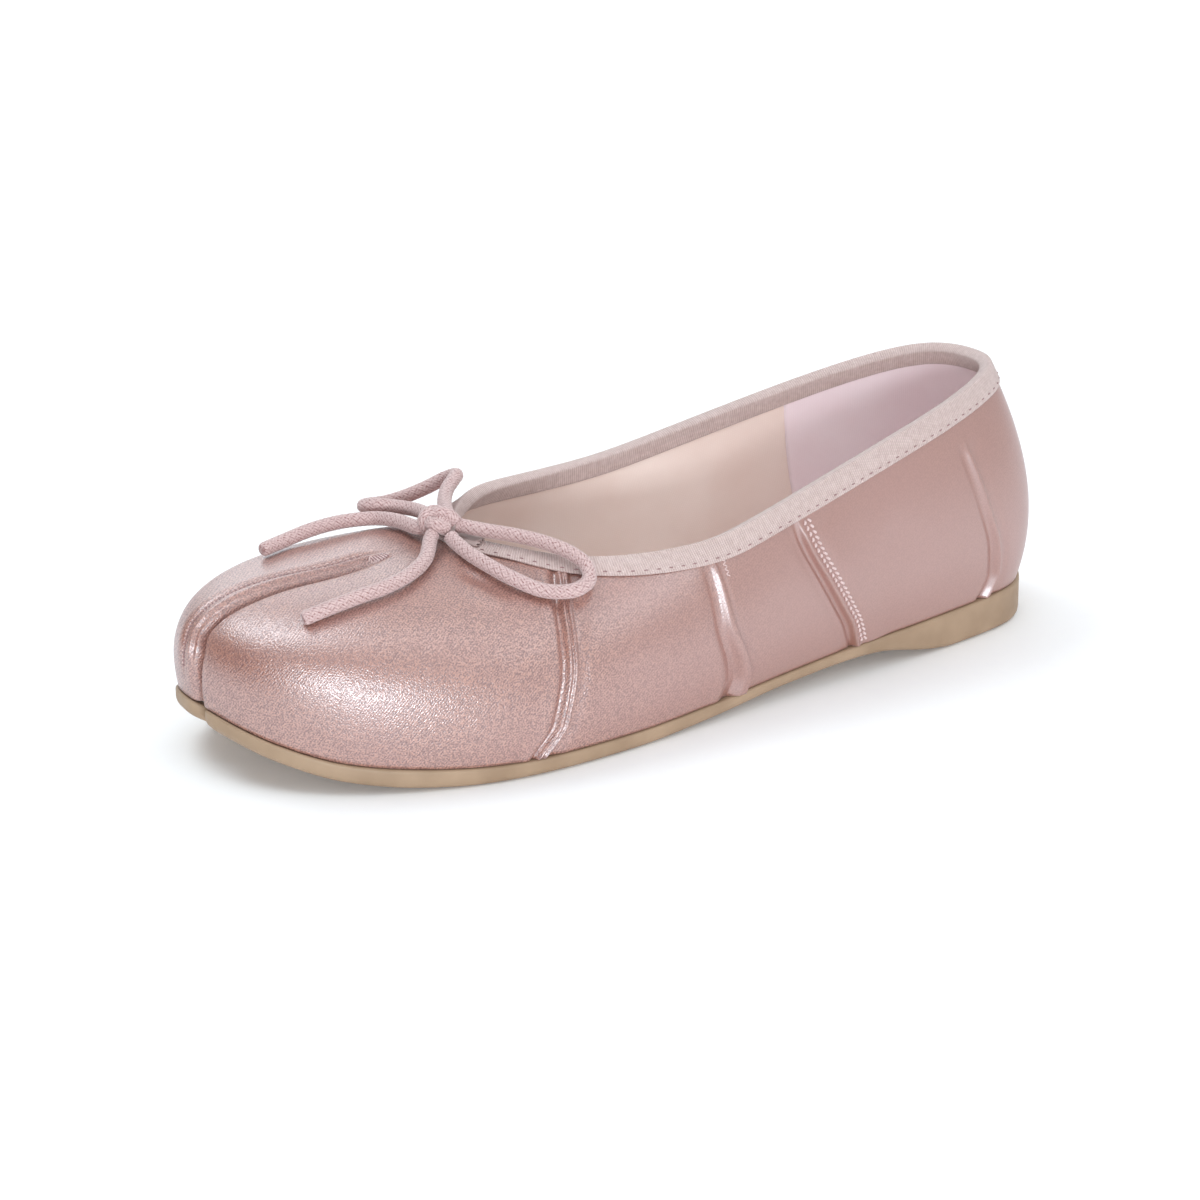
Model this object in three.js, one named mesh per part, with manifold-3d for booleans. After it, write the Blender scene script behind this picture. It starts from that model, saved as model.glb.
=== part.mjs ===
// A left tabi ballet flat: moulded sole with a low heel, insole board, satin upper with a split toe,
// grosgrain collar binding and a tied bow of braided cord. Millimetres, +X to the toe, +Y to the outer
// (lateral) side of the foot, +Z up. The origin is under the middle of the shoe, on the floor.

import * as THREE from 'three';
import { mergeVertices } from 'three/addons/utils/BufferGeometryUtils.js';
import Module from 'manifold-3d';

const wasm = await Module();
wasm.setup();

// Driving dimensions
const LENGTH = 246.5; // heel back to toe tip, along the sole
const BALL_WIDTH = 83; // widest part of the sole
const BACK_HEIGHT = 70.8; // floor to the upper's edge at the heel
const WALL = 1.8; // satin, stiffener and lining together
const GAP = 0.3; // clearance between pieces that touch
const SOLE_MARGIN = 0.7; // the sole's edge outside the upper's foot line
const INSOLE_THICKNESS = 2;
const INSOLE_INSET = 2.9; // from the foot line to the edge of the insole board
const BINDING_THICKNESS = 1;
const BINDING_GAP = 0.46; // clearance between the ribbon and the wall it is folded over
const BINDING_OUTSIDE = 6.3; // width of the ribbon that shows outside
const BINDING_INSIDE = 5;
const BINDING_ROUND = 0.7; // rounding of the fold, as a share of the ribbon's thickness
const CORD_DIAMETER = 3.8;
const CORD_SIDES = 8;

// Sizes of the last that the tables below are written for
const LAST = { length: 246.5, ballWidth: 83, backHeight: 70.8 };
const STATION_SCALE = LENGTH / LAST.length;
const SIDE_SCALE = BALL_WIDTH / LAST.ballWidth;
const HEIGHT_SCALE = BACK_HEIGHT / LAST.backHeight;

// Side view of the sole. Stations run from the heel back, heights from the floor. The heel stands on the
// floor from 8 to 36 and slopes up to the arch, the forefoot stands from 146 to 190, and the toe springs up.
const SOLE_COLUMNS = ['station', 'bottom', 'top'];
const SOLE_ROWS = [
  [-4, 2, 11.2],
  [0, 1, 11],
  [8, 0, 10.8],
  [36, 0, 10.2],
  [42, 0.6, 10],
  [48, 1.7, 9.75],
  [54, 3.1, 9.5],
  [59, 4.2, 9.3],
  [64, 4.75, 9.1],
  [70, 4.9, 8.8],
  [95, 3.6, 7],
  [122, 1.2, 5.2],
  [146, 0, 4.3],
  [174, 0, 4.3],
  [190, 0, 4.7],
  [206, 0.8, 5.9],
  [222, 3, 8],
  [236, 7.6, 12.4],
  [246.5, 13, 17.6],
  [252, 16.2, 20.8],
];
const SOLE_STEPS = 3; // flat strips between two rows
const BLANK = { low: -5, high: 40 }; // heights of the block that sole and insole are cut from

// Ribs of the upper, round the shoe from the heel back along the outer side to the toe and home along the
// inner side. Each rib is a curve from the foot line on the sole to the topline; the bulges push its two
// inner control points out from the foot line, and the lifts push them up.
const RIB_COLUMNS = [
  'footStation', 'footSide', 'topStation', 'topSide', 'topHeight',
  'bulgeLow', 'liftLow', 'bulgeHigh', 'liftHigh',
];
const RIBS = {
  heel_back: [0.7, 0, 11, 0, 70.8, 9.5, 0, 6.6, 0],
  heel_corner: [7.6, 17.4, 16, 12.6, 70.2, 9.5, 0, 6.6, 0],
  heel_fold: [22.6, 25.2, 34.5, 22, 66.9, 8, 0, 6, 0],
  quarter: [47, 30.2, 57, 28, 62.2, 6.5, 0, 4.5, 0],
  counter_seam: [72.3, 33.4, 93, 33.3, 53, 6, 0, 4, 0],
  waist: [93, 36.2, 107, 35.1, 49.6, 6.5, 0, 4, 0],
  waist_fold: [112, 39.5, 119.5, 35.3, 47.4, 7, 2, 5, 2],
  forewaist: [143, 44.8, 140, 32.5, 46.6, 9, 6, 7, 6],
  vamp_seam: [174, 47.4, 155, 25.5, 47, 12, 11, 7, 8],
  outer_ball: [197.5, 44, 163, 16.5, 47.6, 17, 16, 10, 10],
  outer_toe: [220, 35, 168, 9.5, 48, 22, 17, 17, 9],
  outer_toe_tip: [239.3, 18.5, 170.3, 4, 48.2, 27.5, 20, 25, 6],
  cleft: [246.2, -3.2, 171, -1, 48.3, 31, 22, 26, 3],
  inner_toe_tip: [241, -20.5, 170.3, -5.2, 48.5, 28, 20, 25.5, 6],
  inner_toe: [222.5, -31.2, 168, -9.5, 48.8, 20.5, 17, 16.5, 8.5],
  inner_ball: [196, -35.4, 162.5, -16.5, 49.2, 11, 15, 6, 8],
  inner_vamp_seam: [168, -33.8, 153, -24, 49.9, 7, 6, 4.5, 2.5],
  inner_forewaist: [140, -28.6, 137, -28.3, 49.4, 6, 2, 4.5, 1],
  inner_waist_fold: [111, -24.2, 117, -29.5, 50, 5, 0, 4, 0],
  inner_waist: [91, -24.4, 102, -29.5, 52, 5, 0, 3.5, 0],
  inner_counter_seam: [70, -26.2, 86, -28.7, 55.2, 5, 0, 3, 0],
  inner_quarter: [47, -28, 56.5, -26.4, 61.4, 6, 0, 4, 0],
  inner_heel_fold: [24.7, -25.6, 31, -20.5, 67.4, 8, 0, 6, 0],
  inner_heel_corner: [7.6, -17.2, 16, -12.6, 70.2, 9.5, 0, 6.6, 0],
};
const RIB_NAMES = Object.keys(RIBS);
const RIB_COUNT = RIB_NAMES.length;

// Raised seams and folds of the upper. Ahead of each ridge, on its toe side, lies a trough; a lapped seam
// has a step instead, with the panel behind it on top.
const FOLD_COLUMNS = ['ridge', 'width', 'trough', 'lap'];
const FOLDS = {
  heel_fold: [1.3, 2.2, 0.8, 0],
  counter_seam: [0, 2, 0.5, 1],
  waist_fold: [1.3, 2.6, 0.9, 0],
  vamp_seam: [1.2, 2.2, 0.8, 0],
  inner_vamp_seam: [1.2, 2.2, 0.8, 0],
  inner_waist_fold: [1.3, 2.6, 0.9, 0],
  inner_counter_seam: [0, 2, 0.5, 1],
  inner_heel_fold: [1.3, 2.2, 0.8, 0],
};
const TROUGH_PLACE = 1.3; // from the ridge to its trough, in ridge widths
const LAP_LEAD = 0.5; // a lapped edge rises over this many ridge widths
const LAP_RUN = 11; // the lapped panel sinks back to the wall over this length
const FOLD_FADE = { from: 0.76, to: 0.86 }; // folds run out below the binding, as shares of the rib

// The cleft between the big toe and the others
const CLEFT = { depth: 12, end: 0.84, mouth: 0.9, mouthAtEnd: 0.8 };

// The bow: routes of the cord's middle line, from the knot outwards and, for the loops, back again
const KNOT = { center: [177.2, 0.2, 52.9], radii: [4.9, 5, 3.5], around: 12, rows: 8 };
const BOW_ROUTES = {
  bow_loop_lateral: [
    [172.6, 3.5, 52], [168.4, 9.2, 51.7], [162.9, 16.3, 51.4], [158.7, 23.2, 50.8], [155.4, 29.4, 49.5],
    [153.9, 34.2, 47.4], [155.4, 37.6, 44.9], [160, 38.6, 43.6], [166.7, 35.5, 43.7], [172.2, 30, 46],
    [175.4, 23, 47.9], [177, 15, 49.2], [177.3, 7.6, 50.4],
  ],
  bow_end_lateral: [
    [181.4, 3.4, 50.4], [187.9, 12.1, 48.6], [194.9, 17, 47.6], [203.1, 19.6, 46.6], [210.6, 20, 45.7],
    [219, 20.1, 44.4], [226.2, 19.5, 42.7],
  ],
  bow_loop_medial: [
    [176.4, -5.6, 52.1], [175.4, -11.5, 51.5], [175.6, -17, 50.8], [178, -22.3, 50.3], [181.6, -26, 50.3],
    [183, -29.4, 49.2], [180.6, -32, 48.3], [175.5, -32.3, 47.9], [169.5, -32, 48.6], [163.5, -31.5, 50.1],
    [158.6, -30.2, 52.2], [157, -27.2, 53.7], [159.4, -24.4, 53.6], [163, -21, 52.9], [167, -15.4, 52.4],
    [170.4, -8.8, 52.5], [172.5, -4.3, 52.8],
  ],
  bow_end_medial: [
    [180.6, -4.4, 50.6], [181.8, -14.2, 49.7], [184.5, -21.5, 48.5], [192.8, -24.5, 48.1], [201.4, -24.5, 47.5],
    [208.8, -24, 46.3], [216.4, -22, 45.7],
  ],
};
const CORD_STEP = 4; // length of one straight piece of a cord's solid

const RIB_STEPS = 3; // columns between two ribs
// Rows of the wall's outside from foot line to topline, and of its inside back down, as shares of the rib
const OUTER_SHARES = [0, 0.1, 0.2, 0.3, 0.4, 0.5, 0.6, 0.69, 0.77, 0.86, 0.93, 1];
const INNER_SHARES = [1, 0.93, 0.86, 0.72, 0.56, 0.42, 0.3, 0.2, 0.1, 0];
const FOLD_SAMPLES = [-2.1, -1.3, -0.65, 0, 0.65, 1.4]; // extra columns at a fold, in ridge widths
// Extra columns at the cleft, in mouths
const CLEFT_SAMPLES = [-6.5, -2.6, -1.2, -0.5, 0, 0.5, 1.2, 2.6, 6.5];
const OUTLINE_STEP = 0.25; // plan outlines, in ribs
const NOTCH_REACH = 0.7; // the outlines take the crowded columns this far from the cleft, in ribs
const CROWD_HEIGHT = 0.3; // height, as a share of the rib, where the crowded columns are spaced
const COLUMN_CLEARANCE = 0.08; // even columns this near a crowd, in ribs, are left out
const SPLINE_PASSES = 60;
const MEASURE_STEPS = 40; // steps of a length measured down from the topline
const DERIVATIVE_STEP = 1e-3;
const WELD = 1e-4; // vertices nearer than this are one

// Small helpers

function named(columns, values) {
  return Object.fromEntries(columns.map((column, i) => [column, values[i]]));
}

function smoothstep(from, to, value) {
  const t = Math.min(Math.max((value - from) / (to - from), 0), 1);
  return t * t * (3 - 2 * t);
}

// A closed mesh from vertices and triangles
function geometryOf(vertices, triangles) {
  const geometry = new THREE.BufferGeometry();
  const coordinates = vertices.flatMap((p) => [p.x, p.y, p.z]);
  geometry.setAttribute('position', new THREE.Float32BufferAttribute(coordinates, 3));
  geometry.setIndex(triangles.flat());
  geometry.computeVertexNormals();
  return geometry;
}

function welded(geometry) {
  geometry.deleteAttribute('normal');
  geometry.deleteAttribute('uv');
  const merged = mergeVertices(geometry, WELD);
  merged.computeVertexNormals();
  return merged;
}

function solidOf(geometry) {
  const merged = welded(geometry);
  return new wasm.Manifold(new wasm.Mesh({
    numProp: 3,
    vertProperties: new Float32Array(merged.attributes.position.array),
    triVerts: new Uint32Array(merged.index.array),
  }));
}

function geometryFromSolid(solid) {
  const mesh = solid.getMesh();
  const geometry = new THREE.BufferGeometry();
  geometry.setAttribute('position', new THREE.Float32BufferAttribute(mesh.vertProperties, 3));
  geometry.setIndex(Array.from(mesh.triVerts));
  geometry.computeVertexNormals();
  return geometry;
}

// Closed ring of sections: every section is a closed loop of points, and the last section meets the first
function ringGeometry(sections) {
  const count = sections.length;
  const size = sections[0].length;
  const triangles = [];
  for (let i = 0; i < count; i++) {
    for (let j = 0; j < size; j++) {
      const a = i * size + j;
      const b = i * size + ((j + 1) % size);
      const c = ((i + 1) % count) * size + ((j + 1) % size);
      const d = ((i + 1) % count) * size + j;
      triangles.push([a, b, c], [a, c, d]);
    }
  }
  return geometryOf(sections.flat(), triangles);
}

// The sole's side view

const soleRows = SOLE_ROWS.map((row) => named(SOLE_COLUMNS, row));

// Smooth curve through one column of the sole table that never overshoots a row
function soleHeight(column, x) {
  const rows = soleRows;
  const station = x / STATION_SCALE;
  const last = rows.length - 2;
  let i = 0;
  while (i < last && rows[i + 1].station < station) i++;
  const slope = (k) => (rows[k + 1][column] - rows[k][column]) / (rows[k + 1].station - rows[k].station);
  const tangent = (k) => {
    if (k === 0) return slope(0);
    if (k === rows.length - 1) return slope(k - 1);
    const before = slope(k - 1);
    const after = slope(k);
    return before * after <= 0 ? 0 : (2 * before * after) / (before + after);
  };
  const span = rows[i + 1].station - rows[i].station;
  const t = (station - rows[i].station) / span;
  const h00 = (1 + 2 * t) * (1 - t) * (1 - t);
  const h10 = t * (1 - t) * (1 - t);
  const h01 = t * t * (3 - 2 * t);
  const h11 = t * t * (t - 1);
  const heights = h00 * rows[i][column] + h01 * rows[i + 1][column];
  return heights + span * (h10 * tangent(i) + h11 * tangent(i + 1));
}

const soleTop = (x) => soleHeight('top', x);
const soleBottom = (x) => soleHeight('bottom', x);

function soleStations() {
  const stations = [];
  for (let i = 0; i < soleRows.length - 1; i++) {
    for (let k = 0; k < SOLE_STEPS; k++) {
      const step = (soleRows[i + 1].station - soleRows[i].station) / SOLE_STEPS;
      stations.push((soleRows[i].station + k * step) * STATION_SCALE);
    }
  }
  stations.push(soleRows.at(-1).station * STATION_SCALE);
  return stations;
}

// The upper's surface

const scales = {
  footStation: STATION_SCALE, topStation: STATION_SCALE, footSide: SIDE_SCALE, topSide: SIDE_SCALE,
  topHeight: HEIGHT_SCALE, bulgeLow: SIDE_SCALE, bulgeHigh: SIDE_SCALE,
  liftLow: HEIGHT_SCALE, liftHigh: HEIGHT_SCALE,
};

// Closed cubic spline through the ribs: the control values are worked out so that it passes through each
function splineControls(column) {
  const rows = RIB_NAMES.map((name) => named(RIB_COLUMNS, RIBS[name])[column] * scales[column]);
  const at = (list, i) => list[(i + RIB_COUNT) % RIB_COUNT];
  let controls = rows;
  for (let pass = 0; pass < SPLINE_PASSES; pass++) {
    controls = controls.map((c, i) => c + rows[i] - (at(controls, i - 1) + 4 * c + at(controls, i + 1)) / 6);
  }
  return controls;
}

const controls = Object.fromEntries(RIB_COLUMNS.map((column) => [column, splineControls(column)]));

function ribValue(column, u) {
  const base = Math.floor(u);
  const t = u - base;
  const weights = [
    (1 - t) ** 3 / 6,
    (3 * t ** 3 - 6 * t ** 2 + 4) / 6,
    (-3 * t ** 3 + 3 * t ** 2 + 3 * t + 1) / 6,
    t ** 3 / 6,
  ];
  const index = (k) => (((base + k - 1) % RIB_COUNT) + RIB_COUNT) % RIB_COUNT;
  return weights.reduce((sum, weight, k) => sum + weight * controls[column][index(k)], 0);
}

function footPlan(u) {
  return new THREE.Vector2(ribValue('footStation', u), ribValue('footSide', u));
}

// Outward direction of the foot line in plan; the ribs run clockwise seen from above
function footOut(u) {
  const along = footPlan(u + DERIVATIVE_STEP).sub(footPlan(u - DERIVATIVE_STEP)).normalize();
  return new THREE.Vector2(-along.y, along.x);
}

function basePoint(u, v) {
  const plan = footPlan(u);
  const foot = new THREE.Vector3(plan.x, plan.y, soleTop(plan.x) + GAP);
  const top = new THREE.Vector3(ribValue('topStation', u), ribValue('topSide', u), ribValue('topHeight', u));
  const outPlan = footOut(u);
  const out = new THREE.Vector3(outPlan.x, outPlan.y, 0);
  const low = foot.clone().lerp(top, 1 / 3).addScaledVector(out, ribValue('bulgeLow', u));
  low.z += ribValue('liftLow', u);
  const high = foot.clone().lerp(top, 2 / 3).addScaledVector(out, ribValue('bulgeHigh', u));
  high.z += ribValue('liftHigh', u);
  return new THREE.CubicBezierCurve3(foot, low, high, top).getPoint(v);
}

function baseNormal(u, v) {
  const low = Math.max(v - DERIVATIVE_STEP, 0);
  const high = Math.min(v + DERIVATIVE_STEP, 1);
  const round = basePoint(u + DERIVATIVE_STEP, v).sub(basePoint(u - DERIVATIVE_STEP, v));
  const rise = basePoint(u, high).sub(basePoint(u, low));
  const normal = rise.cross(round);
  if (v === 0) normal.z = 0;
  return normal.normalize();
}

// Length round the shoe of one rib's share of the girth, at a height v
function ribSpan(u, v) {
  const ahead = basePoint(u + DERIVATIVE_STEP, v);
  return ahead.distanceTo(basePoint(u - DERIVATIVE_STEP, v)) / (2 * DERIVATIVE_STEP);
}

// Signed distance from a rib, round the shoe
function girthFrom(name, u, v) {
  const rib = RIB_NAMES.indexOf(name);
  const away = ((u - rib + 1.5 * RIB_COUNT) % RIB_COUNT) - RIB_COUNT / 2;
  return away * ribSpan(rib, v);
}

// How far the cleft pushes the wall in; spread widens its bottom
function cleftPush(u, v, spread) {
  const run = Math.max(1 - v / CLEFT.end, 0);
  const mouth = CLEFT.mouthAtEnd + (CLEFT.mouth - CLEFT.mouthAtEnd) * run;
  const beside = Math.max(Math.abs(girthFrom('cleft', u, v)) - spread, 0);
  return CLEFT.depth * run * Math.exp(-beside / mouth);
}

function foldRise(u, v) {
  const fade = 1 - smoothstep(FOLD_FADE.from, FOLD_FADE.to, v);
  let rise = 0;
  for (const name of Object.keys(FOLDS)) {
    const fold = named(FOLD_COLUMNS, FOLDS[name]);
    const toHeel = name.startsWith('inner') ? 1 : -1;
    const behind = (girthFrom(name, u, v) * toHeel) / fold.width;
    rise += fold.ridge * Math.exp(-behind * behind);
    rise -= fold.trough * Math.exp(-((behind + TROUGH_PLACE) ** 2));
    const lapped = smoothstep(-LAP_LEAD, 0, behind) * (1 - smoothstep(0, LAP_RUN, behind * fold.width));
    rise += fold.lap * lapped;
  }
  return rise * fade;
}

function outerPoint(u, v) {
  return basePoint(u, v).addScaledVector(baseNormal(u, v), foldRise(u, v) - cleftPush(u, v, 0));
}

function innerPoint(u, v) {
  return basePoint(u, v).addScaledVector(baseNormal(u, v), -WALL - cleftPush(u, v, WALL));
}

// Columns round the shoe: evenly between ribs, with more at the folds and the cleft
function girthColumns() {
  const columns = new Set();
  for (let k = 0; k < RIB_COUNT * RIB_STEPS; k++) columns.add(k / RIB_STEPS);
  const crowd = (name, samples, unit) => {
    const rib = RIB_NAMES.indexOf(name);
    const span = ribSpan(rib, CROWD_HEIGHT);
    const offsets = samples.map((sample) => (sample * unit) / span);
    const reach = offsets.at(-1) + COLUMN_CLEARANCE;
    for (const column of [...columns]) {
      if (Math.abs(column - rib) < reach) columns.delete(column);
    }
    for (const offset of offsets) columns.add(rib + offset);
  };
  for (const name of Object.keys(FOLDS)) {
    const toHeel = name.startsWith('inner') ? 1 : -1;
    const samples = FOLD_SAMPLES.map((sample) => sample * toHeel).sort((a, b) => a - b);
    crowd(name, samples, named(FOLD_COLUMNS, FOLDS[name]).width);
  }
  crowd('cleft', CLEFT_SAMPLES, CLEFT.mouth);
  return [...columns].sort((a, b) => a - b);
}

const girth = girthColumns();

function upperGeometry() {
  const sections = girth.map((u) => [
    ...OUTER_SHARES.map((v) => outerPoint(u, v)),
    ...INNER_SHARES.map((v) => innerPoint(u, v)),
  ]);
  return ringGeometry(sections);
}

// Collar binding: a ribbon folded over the topline

// Share of the rib that lies a given distance below the topline
function shareBelowTop(u, distance) {
  const deepest = 0.5;
  const step = deepest / MEASURE_STEPS;
  let below = 0;
  let before = basePoint(u, 1);
  for (let i = 1; i <= MEASURE_STEPS; i++) {
    const v = 1 - i * step;
    const point = basePoint(u, v);
    const run = point.distanceTo(before);
    if (below + run >= distance) return v + ((below + run - distance) / run) * step;
    below += run;
    before = point;
  }
  return deepest;
}

function bindingSection(u) {
  const outer = BINDING_GAP + BINDING_THICKNESS;
  const inner = -WALL - BINDING_GAP - BINDING_THICKNESS;
  const corner = BINDING_ROUND * BINDING_THICKNESS;
  const edge = basePoint(u, 1);
  const normal = baseNormal(u, 1);
  const up = edge.clone().sub(basePoint(u, 1 - DERIVATIVE_STEP)).normalize();
  const leg = (below, out) => {
    const v = shareBelowTop(u, below);
    return basePoint(u, v).addScaledVector(baseNormal(u, v), out);
  };
  const crest = (above, out) => edge.clone().addScaledVector(normal, out).addScaledVector(up, above);
  return [
    leg(BINDING_OUTSIDE / 2, BINDING_GAP),
    leg(BINDING_OUTSIDE, BINDING_GAP),
    leg(BINDING_OUTSIDE, outer),
    leg(BINDING_OUTSIDE / 2, outer),
    crest(BINDING_GAP + BINDING_THICKNESS - corner, outer),
    crest(BINDING_GAP + BINDING_THICKNESS, outer - corner),
    crest(BINDING_GAP + BINDING_THICKNESS, inner + corner),
    crest(BINDING_GAP + BINDING_THICKNESS - corner, inner),
    leg(BINDING_INSIDE, inner),
    leg(BINDING_INSIDE, inner + BINDING_THICKNESS),
    crest(BINDING_GAP, -WALL - BINDING_GAP),
    crest(BINDING_GAP, BINDING_GAP),
  ];
}

// Sole and insole: a plan outline raised into a prism and cut by a slab with the side view

// Foot line moved out by a margin, with the toe notch
function planOutline(margin, spread) {
  const outline = [];
  const nearCleft = (u) => Math.abs(u - RIB_NAMES.indexOf('cleft')) < NOTCH_REACH;
  const columns = new Set(girth.filter(nearCleft));
  for (let u = 0; u < RIB_COUNT; u += OUTLINE_STEP) {
    if (!nearCleft(u)) columns.add(u);
  }
  for (const u of [...columns].sort((a, b) => a - b)) {
    const push = margin - cleftPush(u, 0, spread);
    outline.push(footPlan(u).addScaledVector(footOut(u), push));
  }
  return outline;
}

function prism(outline) {
  const depth = BLANK.high - BLANK.low;
  const geometry = new THREE.ExtrudeGeometry(new THREE.Shape(outline), { depth, bevelEnabled: false });
  return solidOf(geometry.translate(0, 0, BLANK.low));
}

// Slab of the whole width between two curves of the side view
function slab(lowCurve, highCurve) {
  const stations = soleStations();
  const profile = [
    ...stations.map((x) => new THREE.Vector2(x, lowCurve(x))),
    ...[...stations].reverse().map((x) => new THREE.Vector2(x, highCurve(x))),
  ];
  const depth = 2 * BALL_WIDTH;
  const geometry = new THREE.ExtrudeGeometry(new THREE.Shape(profile), { depth, bevelEnabled: false });
  return solidOf(geometry.translate(0, 0, -BALL_WIDTH).rotateX(Math.PI / 2));
}

function soleGeometry() {
  return geometryFromSolid(prism(planOutline(SOLE_MARGIN, 0)).intersect(slab(soleBottom, soleTop)));
}

function insoleGeometry() {
  const board = slab((x) => soleTop(x) + GAP, (x) => soleTop(x) + GAP + INSOLE_THICKNESS);
  return geometryFromSolid(prism(planOutline(-INSOLE_INSET, INSOLE_INSET)).intersect(board));
}

// Bow

const scaled = ([x, y, z]) => new THREE.Vector3(x * STATION_SCALE, y * SIDE_SCALE, z * HEIGHT_SCALE);

function cordGeometry(route) {
  const path = new THREE.CatmullRomCurve3(route.map(scaled), false, 'centripetal');
  const section = new THREE.Shape();
  for (let k = 0; k < CORD_SIDES; k++) {
    const angle = (2 * Math.PI * k) / CORD_SIDES;
    const x = (CORD_DIAMETER / 2) * Math.cos(angle);
    const y = (CORD_DIAMETER / 2) * Math.sin(angle);
    if (k === 0) section.moveTo(x, y);
    else section.lineTo(x, y);
  }
  const steps = Math.round(path.getLength() / CORD_STEP);
  return welded(new THREE.ExtrudeGeometry(section, { steps, extrudePath: path, bevelEnabled: false }));
}

function knotGeometry() {
  const geometry = new THREE.SphereGeometry(1, KNOT.around, KNOT.rows);
  const center = scaled(KNOT.center);
  return welded(geometry.scale(...KNOT.radii).translate(center.x, center.y, center.z));
}

// Materials and assembly

const satin = new THREE.MeshStandardMaterial({ color: 0xcdaca8, roughness: 0.35, metalness: 0 });
const grosgrain = new THREE.MeshStandardMaterial({ color: 0xe8d6d6, roughness: 0.7, metalness: 0 });
const braid = new THREE.MeshStandardMaterial({ color: 0xe8cdd0, roughness: 0.8, metalness: 0 });
const rubber = new THREE.MeshStandardMaterial({ color: 0xc5aa8a, roughness: 0.6, metalness: 0 });
const sock = new THREE.MeshStandardMaterial({ color: 0xd4c4bd, roughness: 0.8, metalness: 0 });

function piece(name, geometry, material) {
  const mesh = new THREE.Mesh(geometry, material);
  mesh.name = name;
  return mesh;
}

const shoe = new THREE.Group();
shoe.add(piece('outsole', soleGeometry(), rubber));
shoe.add(piece('insole', insoleGeometry(), sock));
shoe.add(piece('upper', upperGeometry(), satin));
shoe.add(piece('collar_binding', ringGeometry(girth.map(bindingSection)), grosgrain));

// The origin lies under the middle of the shoe's box
const box = new THREE.Box3().setFromObject(shoe);
const middle = box.getCenter(new THREE.Vector3());
shoe.position.set(-middle.x, -middle.y, -box.min.z);

shoe.add(piece('bow_knot', knotGeometry(), braid));
for (const [name, route] of Object.entries(BOW_ROUTES)) shoe.add(piece(name, cordGeometry(route), braid));

const part = new THREE.Group();
part.add(shoe);

export default part;
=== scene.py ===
# %% [markdown]
# # A tabi ballet flat, dressed in Blender
# The part's CAD model gives the exact size and place of every piece. This lesson puts the real surfaces
# over it: satin with pressed seams, a ribbed ribbon round the collar, a braided cord tied in a bow, a
# lining and a moulded sole. The CAD model is loaded first and never moved, so nothing here has to be
# fitted by eye.

# %% Load the CAD model as a fixed frame
import bmesh
import bpy
import numpy as np
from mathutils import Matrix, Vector


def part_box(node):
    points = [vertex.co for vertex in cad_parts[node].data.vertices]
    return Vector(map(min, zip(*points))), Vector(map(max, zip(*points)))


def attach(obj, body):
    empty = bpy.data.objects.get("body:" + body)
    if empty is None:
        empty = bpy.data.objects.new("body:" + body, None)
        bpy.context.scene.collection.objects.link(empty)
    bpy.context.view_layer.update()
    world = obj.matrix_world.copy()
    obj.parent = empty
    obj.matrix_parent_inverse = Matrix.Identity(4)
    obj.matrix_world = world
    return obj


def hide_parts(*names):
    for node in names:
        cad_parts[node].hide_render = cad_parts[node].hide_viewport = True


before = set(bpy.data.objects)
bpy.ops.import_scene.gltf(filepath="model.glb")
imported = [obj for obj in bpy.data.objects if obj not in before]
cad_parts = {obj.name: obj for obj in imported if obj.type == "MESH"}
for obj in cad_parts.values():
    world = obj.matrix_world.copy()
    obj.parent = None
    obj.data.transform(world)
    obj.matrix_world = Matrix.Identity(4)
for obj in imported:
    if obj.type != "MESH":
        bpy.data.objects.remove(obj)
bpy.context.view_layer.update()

print("CAD nodes:", sorted(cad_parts))

# %% [markdown]
# ## One ruler for the whole shoe
# A shoemaker measures along the sole from the back of the heel (the station), out from the middle line
# (the side) and up from the floor (the height), all in millimetres. Blender works in metres from the
# frame's own origin. The knot of the bow is in both, so its box tells how far the two rulers are apart.

# %% From shoemaker's millimetres to the frame's metres
KNOT_CENTRE = np.array([177.2, 0.2, 52.9])
knot_corners = np.array([list(corner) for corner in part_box("bow_knot")])
RULER_SHIFT = knot_corners.mean(axis=0) * 1000 - KNOT_CENTRE


def in_frame(points):
    """Millimetres on the shoe's ruler, turned into metres in the frame."""
    return (np.asarray(points, float) + RULER_SHIFT) / 1000


print("ruler shift in mm:", RULER_SHIFT.round(3))

# %% [markdown]
# ## The camera
# The photograph is taken from the front of the outer side, a little above, with a long lens that
# flattens the perspective. The camera comes first, because the cords are checked against what it sees.

# %% Place the camera
CAMERA_AT = (670.4, 902.4, 424.9)
CAMERA_AIM = (128.5, -1.7, 21.5)
camera_data = bpy.data.cameras.new("camera")
camera_data.lens = 129.26
camera_data.sensor_width = 36
camera = bpy.data.objects.new("camera", camera_data)
bpy.context.scene.collection.objects.link(camera)
camera.location = in_frame(CAMERA_AT)
line_of_sight = Vector(in_frame(CAMERA_AIM)) - camera.location
camera.rotation_euler = line_of_sight.to_track_quat("-Z", "Y").to_euler()
bpy.context.scene.camera = camera
print("camera to shoe:", round(line_of_sight.length, 3), "m")

# %% [markdown]
# ## A workbench for finishes
# Every finish below is a Principled shader fed by a few procedural nodes. These helpers keep each
# recipe short: one makes the material, one adds a node and sets its sockets, one makes a grain and one
# turns it into bumps. Numbers that are the same all over a surface are set on the shader itself, so
# that an export keeps them.

# %% Helpers for materials


def linear(red, green, blue):
    """A colour as seen on a screen, 0 to 255, as the light values that a shader wants."""
    shown = np.array([red, green, blue]) / 255
    light = np.where(shown <= 0.04045, shown / 12.92, ((shown + 0.055) / 1.055) ** 2.4)
    return (*light.tolist(), 1.0)


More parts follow.
